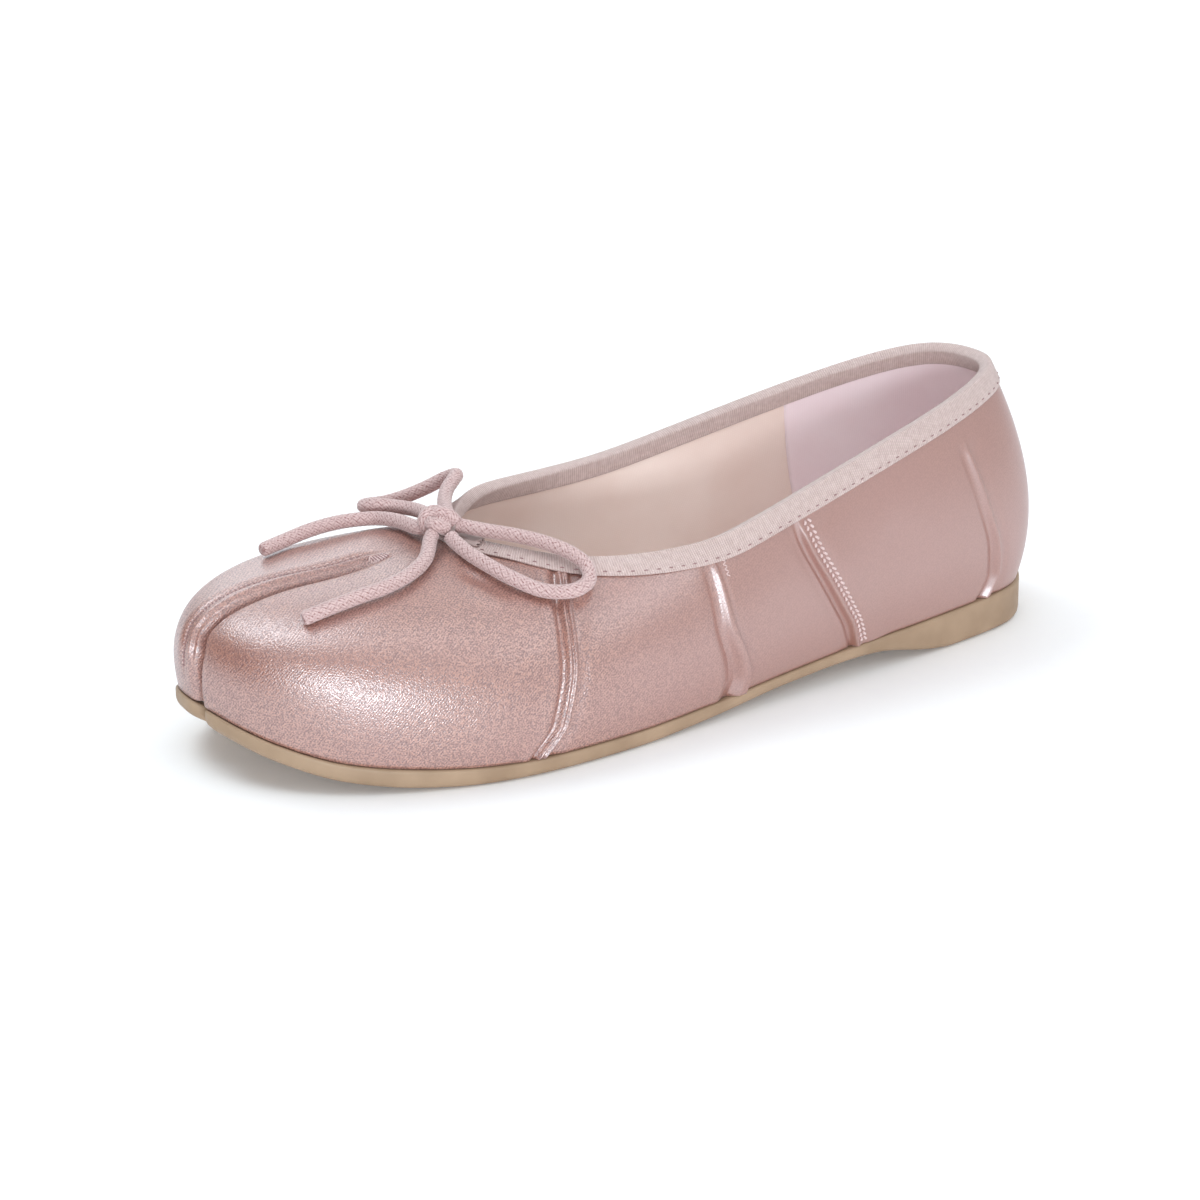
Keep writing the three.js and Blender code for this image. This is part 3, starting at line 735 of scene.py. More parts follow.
def lip_rise(u, v):
    beside = girth_from("cleft", u, v)
    fade = smoothstep(0.02, 0.2, v) * (1 - smoothstep(0.8, 0.88, v))
    line_at = lip_line_at(v)
    wall_at = line_at * LIP_WALL
    wall = 0.75 * smoothstep(0.1, 0.6 * wall_at, beside)
    hem = 0.55 * smoothstep(wall_at - 0.2, wall_at + 0.2, beside)
    sunk = (wall + hem) * (1 - smoothstep(line_at, 18, beside))
    hem_edge = 0.2 * hump(beside - wall_at - 0.4, 0.4)
    under_hem = 0.3 * hump(beside - wall_at + 0.4, 0.3)
    groove = 0.55 * hump(beside - line_at, 0.5)
    beyond = 0.35 * hump(beside - line_at - 2.2, 1.8)
    piping = 0.3 * hump(beside + 1.9, 0.35) * (1 - smoothstep(0.3, 0.5, v))
    tuck = 0.35 * hump(beside + 0.9, 0.9) * (1 - smoothstep(0.7, 0.84, v))
    return fade * (sunk + hem_edge - under_hem - groove + beyond) + piping - tuck


print("cleft:", CLEFT_DEPTH, "mm deep at the tip")

# %% [markdown]
# ## Soft creases
# Cloth that is pulled by a knot or bent at the ball never lies quite smooth. A few creases are listed one by
# one, each a line on the last with a depth and a width; a negative depth makes a ridge.

# %% Place the creases
CREASES = (
    # depth and width in mm, then points (u, v)
    (0.8, 2.6, ((10.5, 0.87), (10.1, 0.845), (9.3, 0.765), (8.75, 0.70))),
    (-0.35, 3.0, ((10.0, 0.78), (9.4, 0.71), (8.9, 0.65))),
    (0.4, 3.2, ((9.6, 0.88), (9.0, 0.82), (8.5, 0.78))),
    (0.35, 4.0, ((13.6, 0.86), (14.4, 0.78), (15.2, 0.70))),
    (0.3, 5.0, ((7.6, 0.35), (7.2, 0.28), (6.7, 0.25))),
    (0.3, 5.0, ((5.3, 0.55), (5.0, 0.40), (4.7, 0.30))),
    (0.3, 6.0, ((3.4, 0.62), (3.1, 0.45), (2.9, 0.25))),
)


def crease_rise(points):
    """Rise at points on the last, from the distance to each crease."""
    rise = np.zeros(points.shape[:-1])
    for depth, width, line in CREASES:
        u, v = np.array(line).T
        corners = spline(last_point(u, v), 1.5)
        reach = np.full(points.shape[:-1], np.inf)
        inside = np.all((points > corners.min(0) - 3 * width) & (points < corners.max(0) + 3 * width), -1)
        near = points[inside]
        squared = ((near[:, None] - corners[None]) ** 2).sum(-1)
        reach[inside] = np.sqrt(squared.min(1))
        ends = np.minimum(np.arange(len(corners)), np.arange(len(corners))[::-1]) / (0.3 * len(corners))
        fade = np.ones(points.shape[:-1])
        fade[inside] = smoothstep(0, 1, ends)[squared.argmin(1)]
        rise -= depth * fade * hump(reach, width)
    return rise


SATIN_MOUTH = (0.62, 0.6)  # the cleft in the satin is a little narrower than in the wall


def satin_point(u, v):
    """A point of the satin's outside, seams, cleft and creases included."""
    slid = follow_lines(u, v)
    base = last_point(slid, v)
    rise = seam_rise(u, v) + lip_rise(u, v) + crease_rise(base) - cleft_push(u, v, 0, *SATIN_MOUTH)
    return base + last_normal(slid, v) * rise[..., None]


print(len(CREASES), "creases")

# %% [markdown]
# ## The satin
# Duchess satin has a fine diagonal twill that catches the light as tiny sparks, over a broad soft sheen. The
# twill runs as parallel planes through the object, a fine grain breaks it up, and large faint patches keep
# the colour from being flat. The grain's specks also lighten the colour, a painted glint that stands in for
# the sparks. Twill and grain fade toward the heel, where the cloth in the photograph is smooth.

# %% Finish of the satin
satin_finish = Finish(
    "satin",
    IOR=2.0,
    Specular_IOR_Level=1.0,
    Specular_Tint=(0.88, 0.89, 0.93, 1.0),
    Sheen_Weight=0.2,
    Sheen_Roughness=0.35,
    Sheen_Tint=(0.9, 0.93, 1.0, 1.0),
)
where = satin_finish.place()
across_twill = satin_finish.node("VectorMath", {"operation": "DOT_PRODUCT"}, Vector=where)
across_twill.inputs[1].default_value = (0.6, -0.52, 0.61)
station = satin_finish.node("SeparateXYZ", Vector=where).outputs["X"]
spark_depth = satin_finish.ramp(station, -0.03, 0.05, 0.15, 1.0)
TWILL_PITCH = 0.00062
twill_ridges = satin_finish.ridges(across_twill.outputs["Value"], TWILL_PITCH)
twill_lines = satin_finish.ramp(twill_ridges, 0.0, 1.0, -0.5, 0.5)
twill = satin_finish.math("MULTIPLY", twill_lines, spark_depth)
sparks = satin_finish.grain(0.00042, detail=0, where=where)
patches = satin_finish.grain(0.028, detail=2, where=where)
twill_share = satin_finish.ramp(twill, -0.5, 0.5, 0.0, 0.24)
# Painted glint: the grain's specks lift the colour toward the light thread tone and lower the roughness,
# standing in for sparks of light on the twill.
painted_glint_share = satin_finish.math("MULTIPLY", satin_finish.ramp(sparks, 0.34, 0.66, -0.5, 0.5), spark_depth)
twill_and_painted_glints = satin_finish.math("ADD", twill_share, satin_finish.ramp(painted_glint_share, -0.5, 0.5, 0.0, 0.8))
threads = satin_finish.mix(twill_and_painted_glints, linear(106, 53, 44), linear(190, 137, 120))
tired = satin_finish.ramp(patches, 0.35, 0.65, 0.0, 0.25)
satin_finish.colour(satin_finish.mix(tired, threads, linear(160, 109, 99)))
satin_finish.rough(satin_finish.ramp(twill_and_painted_glints, 0.1, 0.9, 0.46, 0.3))
satin_finish.bump(twill, 0.00005, 0.5)
satin_finish.bump(sparks, 0.0001, spark_depth)
print("finish:", satin_finish.material.name)

# %% [markdown]
# ## The satin upper
# The upper is one net round the shoe. Its columns stand close together where a seam or the cleft needs
# them and further apart on the plain panels, so the detail is fine without millions of faces. Each
# column goes up the outside and down the inside, which gives the cloth a thickness and closes the mesh.

# %% Columns round the shoe
PLAIN_STEP = 1.25
SEAM_STEP = 0.24
CLEFT_STEP = 0.16


def girth_columns(plain, seam, cleft):
    """Places of the columns, from a wanted step in millimetres at each place round the shoe."""
    u = np.linspace(0, RIB_COUNT, 6001)
    step = np.full_like(u, plain)
    crowded = [(side + name, seam, 3.4) for side in SIDES for name in SEAMS] + [("cleft", cleft, 6.2)]
    for name, fine, reach in crowded:
        beside = np.abs(girth_from(name, u, np.array(0.35)))
        step = np.minimum(step, fine + 0.22 * np.maximum(beside - reach, 0))
    density = rib_span(u, np.full_like(u, 0.35)) / step
    filled = np.concatenate([[0], np.cumsum((density[1:] + density[:-1]) / 2 * np.diff(u))])
    count = int(filled[-1])
    return np.interp(np.arange(count) * filled[-1] / count, filled, u)


satin_u = girth_columns(PLAIN_STEP, SEAM_STEP, CLEFT_STEP)
print(len(satin_u), "columns round the shoe")

# %% Make the satin upper
SATIN_THICKNESS = 0.9
SATIN_ROWS = 92
outside_v = np.linspace(0, 1, SATIN_ROWS)
inside_v = np.array([1, 0.88, 0.74, 0.6, 0.45, 0.32, 0.2, 0.1, 0])
column = satin_u[:, None]
outside = satin_point(column, outside_v[None, :])
inside_push = SATIN_THICKNESS + cleft_push(column, inside_v[None, :], SATIN_THICKNESS)
inside_u = follow_lines(column, inside_v[None, :])
inward = -last_normal(inside_u, inside_v[None, :])
inside = last_point(inside_u, inside_v[None, :]) + inward * inside_push[..., None]
TURNED_IN, TURNED_DOWN = 0.4, 0.22
turned_edge = outside[:, :1] + inward[:, -1:] * TURNED_IN - np.array([0, 0, TURNED_DOWN])
satin_net = np.concatenate([turned_edge, outside, inside], axis=1)
satin_faces = net_faces(satin_net.shape[0], satin_net.shape[1], True).tolist()
satin_upper = add_piece("satin_upper", satin_net.reshape(-1, 3), satin_faces, satin_finish)
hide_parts("upper")
print("satin upper:", len(satin_upper.data.polygons), "faces")

# %% [markdown]
# ## The lining
# Inside, a smooth cotton lining covers the forefoot and the sides, and a separate heel lining of a
# cooler pink laps over it with a cut edge. Both are thin closed nets just inside the satin.

# %% Finishes of the lining


def lining_cloth(name, low, high):
    made = Finish(name, Sheen_Weight=0.15, Sheen_Roughness=0.6)
    across, along = made.weave()
    threads = made.math("MULTIPLY", made.ridges(across, 0.55), made.ridges(along, 0.55))
    patches = made.grain(0.02, detail=3)
    shade = made.math("ADD", made.ramp(threads, 0, 1, 0, 0.35), made.ramp(patches, 0.3, 0.7, 0, 0.65))
    made.colour(made.mix(shade, linear(*low), linear(*high)))
    made.rough(made.ramp(patches, 0.3, 0.7, 0.62, 0.75))
    made.bump(threads, 0.00006, 0.5)
    return made


front_lining_finish = lining_cloth("lining_cotton", (243, 220, 210), (253, 236, 228))
heel_lining_finish = lining_cloth("heel_lining_cotton", (248, 227, 232), (255, 241, 245))
print("finishes:", front_lining_finish.material.name, heel_lining_finish.material.name)

# %% Make the two linings
WALL = 1.8
LINING_ROWS = 44
LINING_LAP = 0.12  # ribs by which the heel lining lies over the front one


def lining_piece(name, u, face, finish):
    """A strip of lining between two places round the shoe; face is how far in its seen side lies."""
    hidden_v = np.linspace(0, 1, 9)
    seen_v = np.linspace(1, 0, LINING_ROWS)
    column = u[:, None]

    def layer(v, depth):
        push = depth + cleft_push(column, v[None, :], depth)
        slid = follow_lines(column, v[None, :])
        return last_point(slid, v[None, :]) - last_normal(slid, v[None, :]) * push[..., None]

    net = np.concatenate([layer(hidden_v, SATIN_THICKNESS + 0.1), layer(seen_v, face)], axis=1)
    columns, rows = net.shape[:2]
    across = np.concatenate([[0], np.cumsum(np.linalg.norm(np.diff(net[:, 30], axis=0), axis=1))])
    along = np.concatenate([[0], np.cumsum(np.linalg.norm(np.diff(net[columns // 4], axis=0), axis=1))])
    along = np.append(along, along[-1] + face)
    faces = net_faces(columns, rows, False).tolist()
    weave = net_weave(across, along).reshape(-1, 2)
    faces.append(list(range(rows - 1, -1, -1)))
    faces.append(list(range((columns - 1) * rows, columns * rows)))
    weave = np.vstack([weave, np.zeros((2 * rows, 2))])
    return add_piece(name, net.reshape(-1, 3), faces, finish, weave)


quarter = RIB_NAMES.index("quarter")
inner_quarter = RIB_NAMES.index("inner_quarter")
lining_u = girth_columns(1.6, 1.2, 0.3)
front_u = lining_u[(lining_u > quarter - LINING_LAP) & (lining_u < inner_quarter + LINING_LAP)]
heel_u = np.linspace(inner_quarter, quarter + RIB_COUNT, 140)
front_lining = lining_piece("lining_front", front_u, WALL, front_lining_finish)
heel_lining = lining_piece("lining_heel", heel_u, WALL + 0.4, heel_lining_finish)
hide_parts("upper")
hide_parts("upper")
print("lining:", len(front_lining.data.polygons) + len(heel_lining.data.polygons), "faces")

# %% [markdown]
# ## The ribbon round the collar
# A grosgrain ribbon is folded over the collar's edge and sewn down. Grosgrain has a thin warp and a
# thick weft, so ribs run straight across it, about sixteen to the centimetre. The ribbon is a net whose
# section goes up the outside, over the fold and down the inside; its ribs are a wave in the finish.

# %% Finish of the ribbon
ribbon_finish = Finish("grosgrain", Sheen_Weight=0.3, Sheen_Roughness=0.4)
across, along = ribbon_finish.weave()
ribs = ribbon_finish.ridges(across, 0.62)
cross_threads = ribbon_finish.ridges(along, 0.38)
worn = ribbon_finish.grain(0.0012, detail=3)
rib_share = ribbon_finish.ramp(ribs, 0, 1, 0, 0.55)
worn_share = ribbon_finish.ramp(worn, 0.3, 0.7, 0, 0.45)
shade = ribbon_finish.math("ADD", rib_share, worn_share)
ribbon_finish.colour(ribbon_finish.mix(shade, linear(183, 156, 151), linear(219, 198, 194)))
ribbon_finish.rough(ribbon_finish.ramp(worn, 0.3, 0.7, 0.5, 0.66))
ribbon_finish.bump(ribs, 0.00016, 0.8)
ribbon_finish.bump(cross_threads, 0.00003, 0.5)
print("finish:", ribbon_finish.material.name)

# %% Make the ribbon
RIBBON_OUTSIDE = 5.7
RIBBON_INSIDE = 4.5
RIBBON_THICKNESS = 0.6
RIBBON_GAP = 0.15


def below_top(u, distances):
    """Shares of the rib that lie the given distances below the collar's edge, for each u."""
    v = np.linspace(1, 0.5, 41)
    points = last_point(u[:, None], v[None, :])
    runs = np.linalg.norm(np.diff(points, axis=1), axis=-1).cumsum(axis=1)
    runs = np.concatenate([np.zeros((len(u), 1)), runs], axis=1)
    return np.stack([np.interp(distances, run, v) for run in runs])


def ribbon_leg(u, distances, outs):
    """Points below the edge, each with its own distance out from the last."""
    v = below_top(u, distances)
    column = np.broadcast_to(u[:, None], v.shape)
    return last_point(column, v) + last_normal(column, v) * np.asarray(outs)[None, :, None]


def ribbon_crest(u, aboves, outs):
    """Points above the edge."""
    edge = last_point(u, np.ones_like(u))
    up = unit(edge - last_point(u, np.full_like(u, 1 - TINY)))
    normal = last_normal(u, np.ones_like(u))
    points = [edge + up * above + normal * out for above, out in zip(aboves, outs)]
    return np.stack(points, axis=1)


COLLAR_STEP = 0.01  # ribs
RIBBON_COLUMNS = 620
steps = np.arange(0, RIB_COUNT, COLLAR_STEP)
collar_run = np.concatenate([[0], np.cumsum(rib_span(steps, np.ones_like(steps)) * COLLAR_STEP)])
ribbon_places = np.arange(RIBBON_COLUMNS) / RIBBON_COLUMNS * collar_run[-1]
ribbon_u = np.interp(ribbon_places, collar_run, np.append(steps, RIB_COUNT))
ribbon_out = RIBBON_GAP + RIBBON_THICKNESS
ribbon_in = -WALL - 0.4 - ribbon_out
angle = np.linspace(0, np.pi, 11)
half_width = (ribbon_out - ribbon_in) / 2
SQUARISH = 0.7  # under 1, the fold is squarer than half a circle
crest_side = np.sign(np.cos(angle)) * np.abs(np.cos(angle)) ** SQUARISH
crest_out = (ribbon_out + ribbon_in) / 2 + half_width * crest_side
crest_above = ribbon_out * np.sin(angle) ** SQUARISH
outside_leg = ribbon_leg(
    ribbon_u,
    (RIBBON_OUTSIDE - 0.1, RIBBON_OUTSIDE, RIBBON_OUTSIDE - 0.15, 5.1, 4.3, 3.5, 2.6, 1.6, 0.7),
    (RIBBON_GAP, RIBBON_GAP + 0.4, ribbon_out - 0.12, *[ribbon_out] * 6),
)
over_edge = ribbon_crest(ribbon_u, crest_above, crest_out)
inside_leg = ribbon_leg(
    ribbon_u,
    (0.7, 1.6, 2.6, 3.4, 4.1, RIBBON_INSIDE, RIBBON_INSIDE, RIBBON_INSIDE - 0.1),
    (*[ribbon_in] * 5, ribbon_in + 0.12, ribbon_in + 0.6, ribbon_in + RIBBON_THICKNESS),
)
under_edge = ribbon_crest(ribbon_u, (RIBBON_GAP, RIBBON_GAP), (-WALL - 0.4 - RIBBON_GAP, RIBBON_GAP))
ribbon_net = np.concatenate([outside_leg, over_edge, inside_leg, under_edge], axis=1)
ribbon_columns, ribbon_rows = ribbon_net.shape[:2]
ribbon_across = np.arange(ribbon_columns + 1) / ribbon_columns * collar_run[-1]
one_section = ribbon_net[40]
ribbon_along = np.concatenate([[0], np.cumsum(np.linalg.norm(np.diff(one_section, axis=0), axis=1))])
ribbon_along = np.append(ribbon_along, ribbon_along[-1] + 1)
ribbon_weave = net_weave(ribbon_across, ribbon_along).reshape(-1, 2)
ribbon_faces = net_faces(ribbon_columns, ribbon_rows, True).tolist()
ribbon_points = ribbon_net.reshape(-1, 3)
ribbon = add_piece("collar_ribbon", ribbon_points, ribbon_faces, ribbon_finish, ribbon_weave)
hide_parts("collar_binding")
print("ribbon:", round(collar_run[-1], 1), "mm long,", len(ribbon.data.polygons), "faces")

# %% [markdown]
# ## Where the ribbon ends meet
# The ribbon is one length, and its cut end laps over its start behind the knot. The lap is a short net
# on top of the ribbon; its last column is pulled about by a wave, so that the cut looks a little
# frayed.

# %% Make the lap of the ribbon
LAP_FROM, LAP_TO = 10.35, 12.3  # ribs
LAP_THICKNESS = 0.5
LAP_GAP = 0.06
lap_u = np.linspace(LAP_FROM, LAP_TO, 40)
lap_layers = []
for lift in (LAP_GAP + LAP_THICKNESS, LAP_GAP):
    lap_outside = ribbon_leg(lap_u, (4.4, 3.6, 2.6, 1.6, 0.7), [ribbon_out + lift] * 5)
    lap_over = ribbon_crest(lap_u, crest_above + lift * np.sin(angle), crest_out + lift * np.cos(angle))
    lap_inside = ribbon_leg(lap_u, (0.7, 1.6, 2.6), [ribbon_in - lift] * 3)
    lap_layers.append(np.concatenate([lap_outside, lap_over, lap_inside], axis=1))
lap_net = np.concatenate([lap_layers[0], lap_layers[1][:, ::-1]], axis=1)
lap_columns, lap_rows = lap_net.shape[:2]
frayed = 2.2 * np.sin(2.4 * np.arange(lap_rows)) - 1.2
lap_net[0] += (lap_net[1] - lap_net[0]) * frayed[:, None]
lap_across = ribbon_across[-1] * np.arange(lap_columns) / ribbon_columns
lap_along = np.concatenate([[0], np.cumsum(np.linalg.norm(np.diff(lap_net[9], axis=0), axis=1))])
lap_weave = net_weave(lap_across, np.append(lap_along, lap_along[-1] + LAP_THICKNESS)).reshape(-1, 2)
lap_faces = net_faces(lap_columns, lap_rows, False).tolist()
for column in (0, lap_columns - 1):
    first = column * lap_rows
    for k in range(lap_rows // 2 - 1):
        end_face = [first + k, first + k + 1, first + lap_rows - 2 - k, first + lap_rows - 1 - k]
        lap_faces.append(end_face[::-1] if column == 0 else end_face)
lap_weave = np.vstack([lap_weave, np.zeros((4 * 2 * (lap_rows // 2 - 1), 2))])
lap_points = lap_net.reshape(-1, 3)
ribbon_lap = add_piece("ribbon_lap", lap_points, lap_faces, ribbon_finish, lap_weave)
print("ribbon lap:", len(ribbon_lap.data.polygons), "faces")

# %% [markdown]
# ## Stitches
# Sewing shows on the ribbon's lower edge, beside the lapped heel seam, along the lip of the cleft and
# in a bar tack at the cleft's end. A line of dashes in a texture would look printed, so each stitch is
# a tiny arched thread whose two ends dip into the cloth. One function makes all the stitches of a line
# as one mesh.

# %% Finishes of the thread
pale_thread = Finish("pale_thread", Sheen_Weight=0.2)
pale_thread.colour(pale_thread.mix(pale_thread.grain(0.0003), linear(202, 168, 165), linear(236, 216, 214)))
pale_thread.rough(pale_thread.ramp(pale_thread.grain(0.0005), 0.3, 0.7, 0.4, 0.6))
dark_thread = Finish("rose_thread", Sheen_Weight=0.2)
dark_thread.colour(dark_thread.mix(dark_thread.grain(0.0003), linear(128, 92, 94), linear(170, 132, 132)))
dark_thread.rough(dark_thread.ramp(dark_thread.grain(0.0005), 0.3, 0.7, 0.45, 0.65))
print("finishes:", pale_thread.material.name, dark_thread.material.name)

# %% Make lines of stitches
STITCH_SIDES = 6


def add_stitches(name, starts, ends, normals, radius, finish, slot):
    """Arched threads from starts to ends, standing up along the normals."""
    along = ends - starts
    side = unit(np.cross(normals, along))
    up = unit(np.cross(along, side))
    places = np.array([0, 0.14, 0.35, 0.65, 0.86, 1])
    sizes = radius * np.array([0.4, 0.85, 1, 1, 0.85, 0.4])
    lifts = radius * np.array([-0.9, 0.1, 0.55, 0.55, 0.1, -0.9])
    angle = 2 * np.pi * np.arange(STITCH_SIDES) / STITCH_SIDES
    middle = starts[:, None] + places[None, :, None] * along[:, None] + lifts[None, :, None] * up[:, None]
    ring = np.cos(angle)[:, None] * up[:, None, None] + np.sin(angle)[:, None] * side[:, None, None]
    points = middle[:, :, None] + sizes[None, :, None, None] * ring
    each = len(places) * STITCH_SIDES
    one = net_faces(len(places), STITCH_SIDES, False)
    faces = (one[None] + each * np.arange(len(starts))[:, None, None]).reshape(-1, 4).tolist()
    for first in range(0, each * len(starts), each):
        faces.append(list(range(first + STITCH_SIDES - 1, first - 1, -1)))
        faces.append(list(range(first + each - STITCH_SIDES, first + each)))
    piece = add_piece(name, points.reshape(-1, 3), faces, finish)
    print(name, len(starts), "stitches")
    return piece


RIBBON_STITCH_PITCH = 3.3
RIBBON_STITCH = 1.2
RIBBON_STITCH_BELOW = 4.6
ribbon_stitch_count = int(collar_run[-1] / RIBBON_STITCH_PITCH)
places = np.arange(ribbon_stitch_count) * collar_run[-1] / ribbon_stitch_count
all_u = np.append(steps, RIB_COUNT)
first_u = np.interp(places, collar_run, all_u)
second_u = np.interp(places + RIBBON_STITCH, collar_run, all_u)
first = ribbon_leg(first_u, (RIBBON_STITCH_BELOW,), (ribbon_out,))[:, 0]
second = ribbon_leg(second_u, (RIBBON_STITCH_BELOW,), (ribbon_out,))[:, 0]
out = last_normal(first_u, below_top(first_u, (RIBBON_STITCH_BELOW,))[:, 0])
add_stitches("ribbon_stitches", first, second, out, 0.16, dark_thread, "grosgrain")

# %% Zigzag rows on the lapped seam


def seam_u(name, v, behind):
    """Where u is, a distance in mm behind a seam."""
    to_heel = SIDES["inner_" if name.startswith("inner") else ""]
    place = RIB_NAMES.index(name)
    return place + behind * to_heel / rib_span(place, v)


def on_satin(u, v):
    """Points of the satin for two lists of places."""
    return satin_point(np.asarray(u, float), np.asarray(v, float))


THICK_THREAD, FINE_THREAD = 0.36, 0.17  # radius in mm
ZIGZAG_STEP = 0.034
ZIGZAG_ROWS = (
    # mm behind the seam's edge where a stitch starts and ends
    (1.8, 2.45), (3.85, 3.2),
)
for side in SIDES:
    v = np.arange(0.03, 0.87, ZIGZAG_STEP)
    starts, ends, outs = [], [], []
    for start_at, end_at in ZIGZAG_ROWS:
        first_u = seam_u(side + "counter_seam", v, start_at)
        second_u = seam_u(side + "counter_seam", v + 0.75 * ZIGZAG_STEP, end_at)
        starts.append(on_satin(first_u, v))
        ends.append(on_satin(second_u, v + 0.75 * ZIGZAG_STEP))
        outs.append(last_normal(first_u, v))
    herringbone = [np.vstack(x) for x in (starts, ends, outs)]
    add_stitches(side + "heel_seam_stitches", *herringbone, THICK_THREAD, pale_thread, "satin")
    v = np.arange(0.76, 0.9, 0.016)
    swing = 0.55 * (-1.0) ** np.arange(len(v)) + 3.6
    u = seam_u(side + "waist_fold", v, swing)
    zigzag = on_satin(u, v)
    outs = last_normal(u, v)[:-1]
    add_stitches(side + "pleat_stitches", zigzag[:-1], zigzag[1:], outs, FINE_THREAD, pale_thread, "satin")

# %% Stitches beside the cleft
cleft_place = RIB_NAMES.index("cleft")


def beside_cleft(distance, v):
    """Where u is, a distance in mm from the cleft on the inner lobe."""
    return cleft_place + distance / rib_span(cleft_place, v)


def line_stitches(name, distance, v, length, radius, finish):
    """A row of short stitches along the cleft."""
    first_u = beside_cleft(distance, v)
    second_u = beside_cleft(distance, v + length)
    first, second = on_satin(first_u, v), on_satin(second_u, v + length)
    add_stitches(name, first, second, last_normal(first_u, v), radius, finish, "satin")


LIP_STITCH = 0.0155  # share of the rib from one stitch to the next
lip_v = np.arange(0.1, 0.8, LIP_STITCH)
line_stitches("cleft_stitches", lip_line_at(lip_v), lip_v, 0.6 * LIP_STITCH, 0.24, dark_thread)
half_stitch = 0.5 * LIP_STITCH
line_stitches("cleft_loops", lip_line_at(lip_v) + 0.45, lip_v + half_stitch, half_stitch, 0.14, pale_thread)
TACK_MIDDLE, TACK_HALF = 0.838, 0.022
TACK_STITCHES = 13
TACK_BESIDE, TACK_HALF_WIDTH = 1.2, 1.45
share = np.linspace(-0.92, 0.92, TACK_STITCHES)
tack_v = TACK_MIDDLE + TACK_HALF * share
half_width = TACK_HALF_WIDTH * np.sqrt(1 - share**2)
left_u = beside_cleft(TACK_BESIDE - half_width, tack_v)
right_u = beside_cleft(TACK_BESIDE + half_width, tack_v)
tack_out = last_normal(left_u, tack_v)
for name, first, step, lean, finish in (
    ("bar_tack", 0, 1, 0.004, pale_thread),
    ("bar_tack_rose", 1, 2, -0.004, dark_thread),
):
    starts, ends = on_satin(left_u, tack_v - lean), on_satin(right_u, tack_v + lean)
    some = slice(first, None, step)
    add_stitches(name, starts[some], ends[some], tack_out[some], 0.23, finish, "satin")

# %% [markdown]
# ## The sole
# The sole is one moulding of tan rubber with a low heel, thin under the ball and sprung up at the toe.
# Its plan is the foot line with a small margin, notched at the cleft; its side view is the table of
# heights. A ring of rounded edge sections is closed by two flat faces, cut across at many stations, and
# only then bent to the side view, so the broad faces follow the curve without a heavy grid.

# %% Finish of the sole
rubber_finish = Finish("sole_rubber", Specular_IOR_Level=0.4)
cast = rubber_finish.grain(0.012, detail=3)
pores = rubber_finish.grain(0.0005, detail=2)
scuff_and_shade_noise = rubber_finish.ramp(rubber_finish.grain(0.004, detail=6, roughness=0.7), 0.52, 0.72)
tan = rubber_finish.mix(rubber_finish.ramp(cast, 0.3, 0.7), linear(155, 129, 105), linear(173, 146, 121))
height_over_floor = rubber_finish.node("SeparateXYZ", Vector=rubber_finish.place()).outputs["Z"]
# Painted shade: within 2 mm of the floor the tan is darkened in patches, standing in for the contact shadow
# under the sole's edge. The same noise also varies the roughness as scuffs.
painted_shade_near_floor = rubber_finish.ramp(height_over_floor, 0.0, 0.002, 0.45, 0.0)
painted_bottom_shade = rubber_finish.math("MULTIPLY", painted_shade_near_floor, scuff_and_shade_noise)
rubber_finish.colour(rubber_finish.mix(painted_bottom_shade, tan, linear(122, 102, 84)))
rubber_finish.rough(rubber_finish.ramp(scuff_and_shade_noise, 0, 1, 0.5, 0.68))
rubber_finish.bump(pores, 0.00005, 0.5)
print("finish:", rubber_finish.material.name)

# %% Make the sole
SOLE_MARGIN = 0.7
SOLE_EDGE = (
    # how far in from the edge, and how far above the bottom or (negative) below the top
    (2.6, 0.0), (1.2, 0.18), (0.45, 0.65), (0.1, 1.3), (0.0, 2.0),
    (0.0, -0.9), (0.06, -0.45), (0.25, -0.15), (0.6, -0.001), (1.6, -0.0001),
)
T_SCALE = 10.0


def plan_outline(u, margin, spread):
    """The foot line moved out by a margin, with the toe notch."""
    push = margin - cleft_push(u, np.zeros_like(u), spread)
    slid = follow_lines(u, np.zeros_like(u))
    return rib(slid)[:, :2] + foot_out(slid) * push[:, None]


def stations_between(rows, steps):
    return np.concatenate([np.linspace(a, b, steps, endpoint=False) for a, b in zip(rows, rows[1:])])


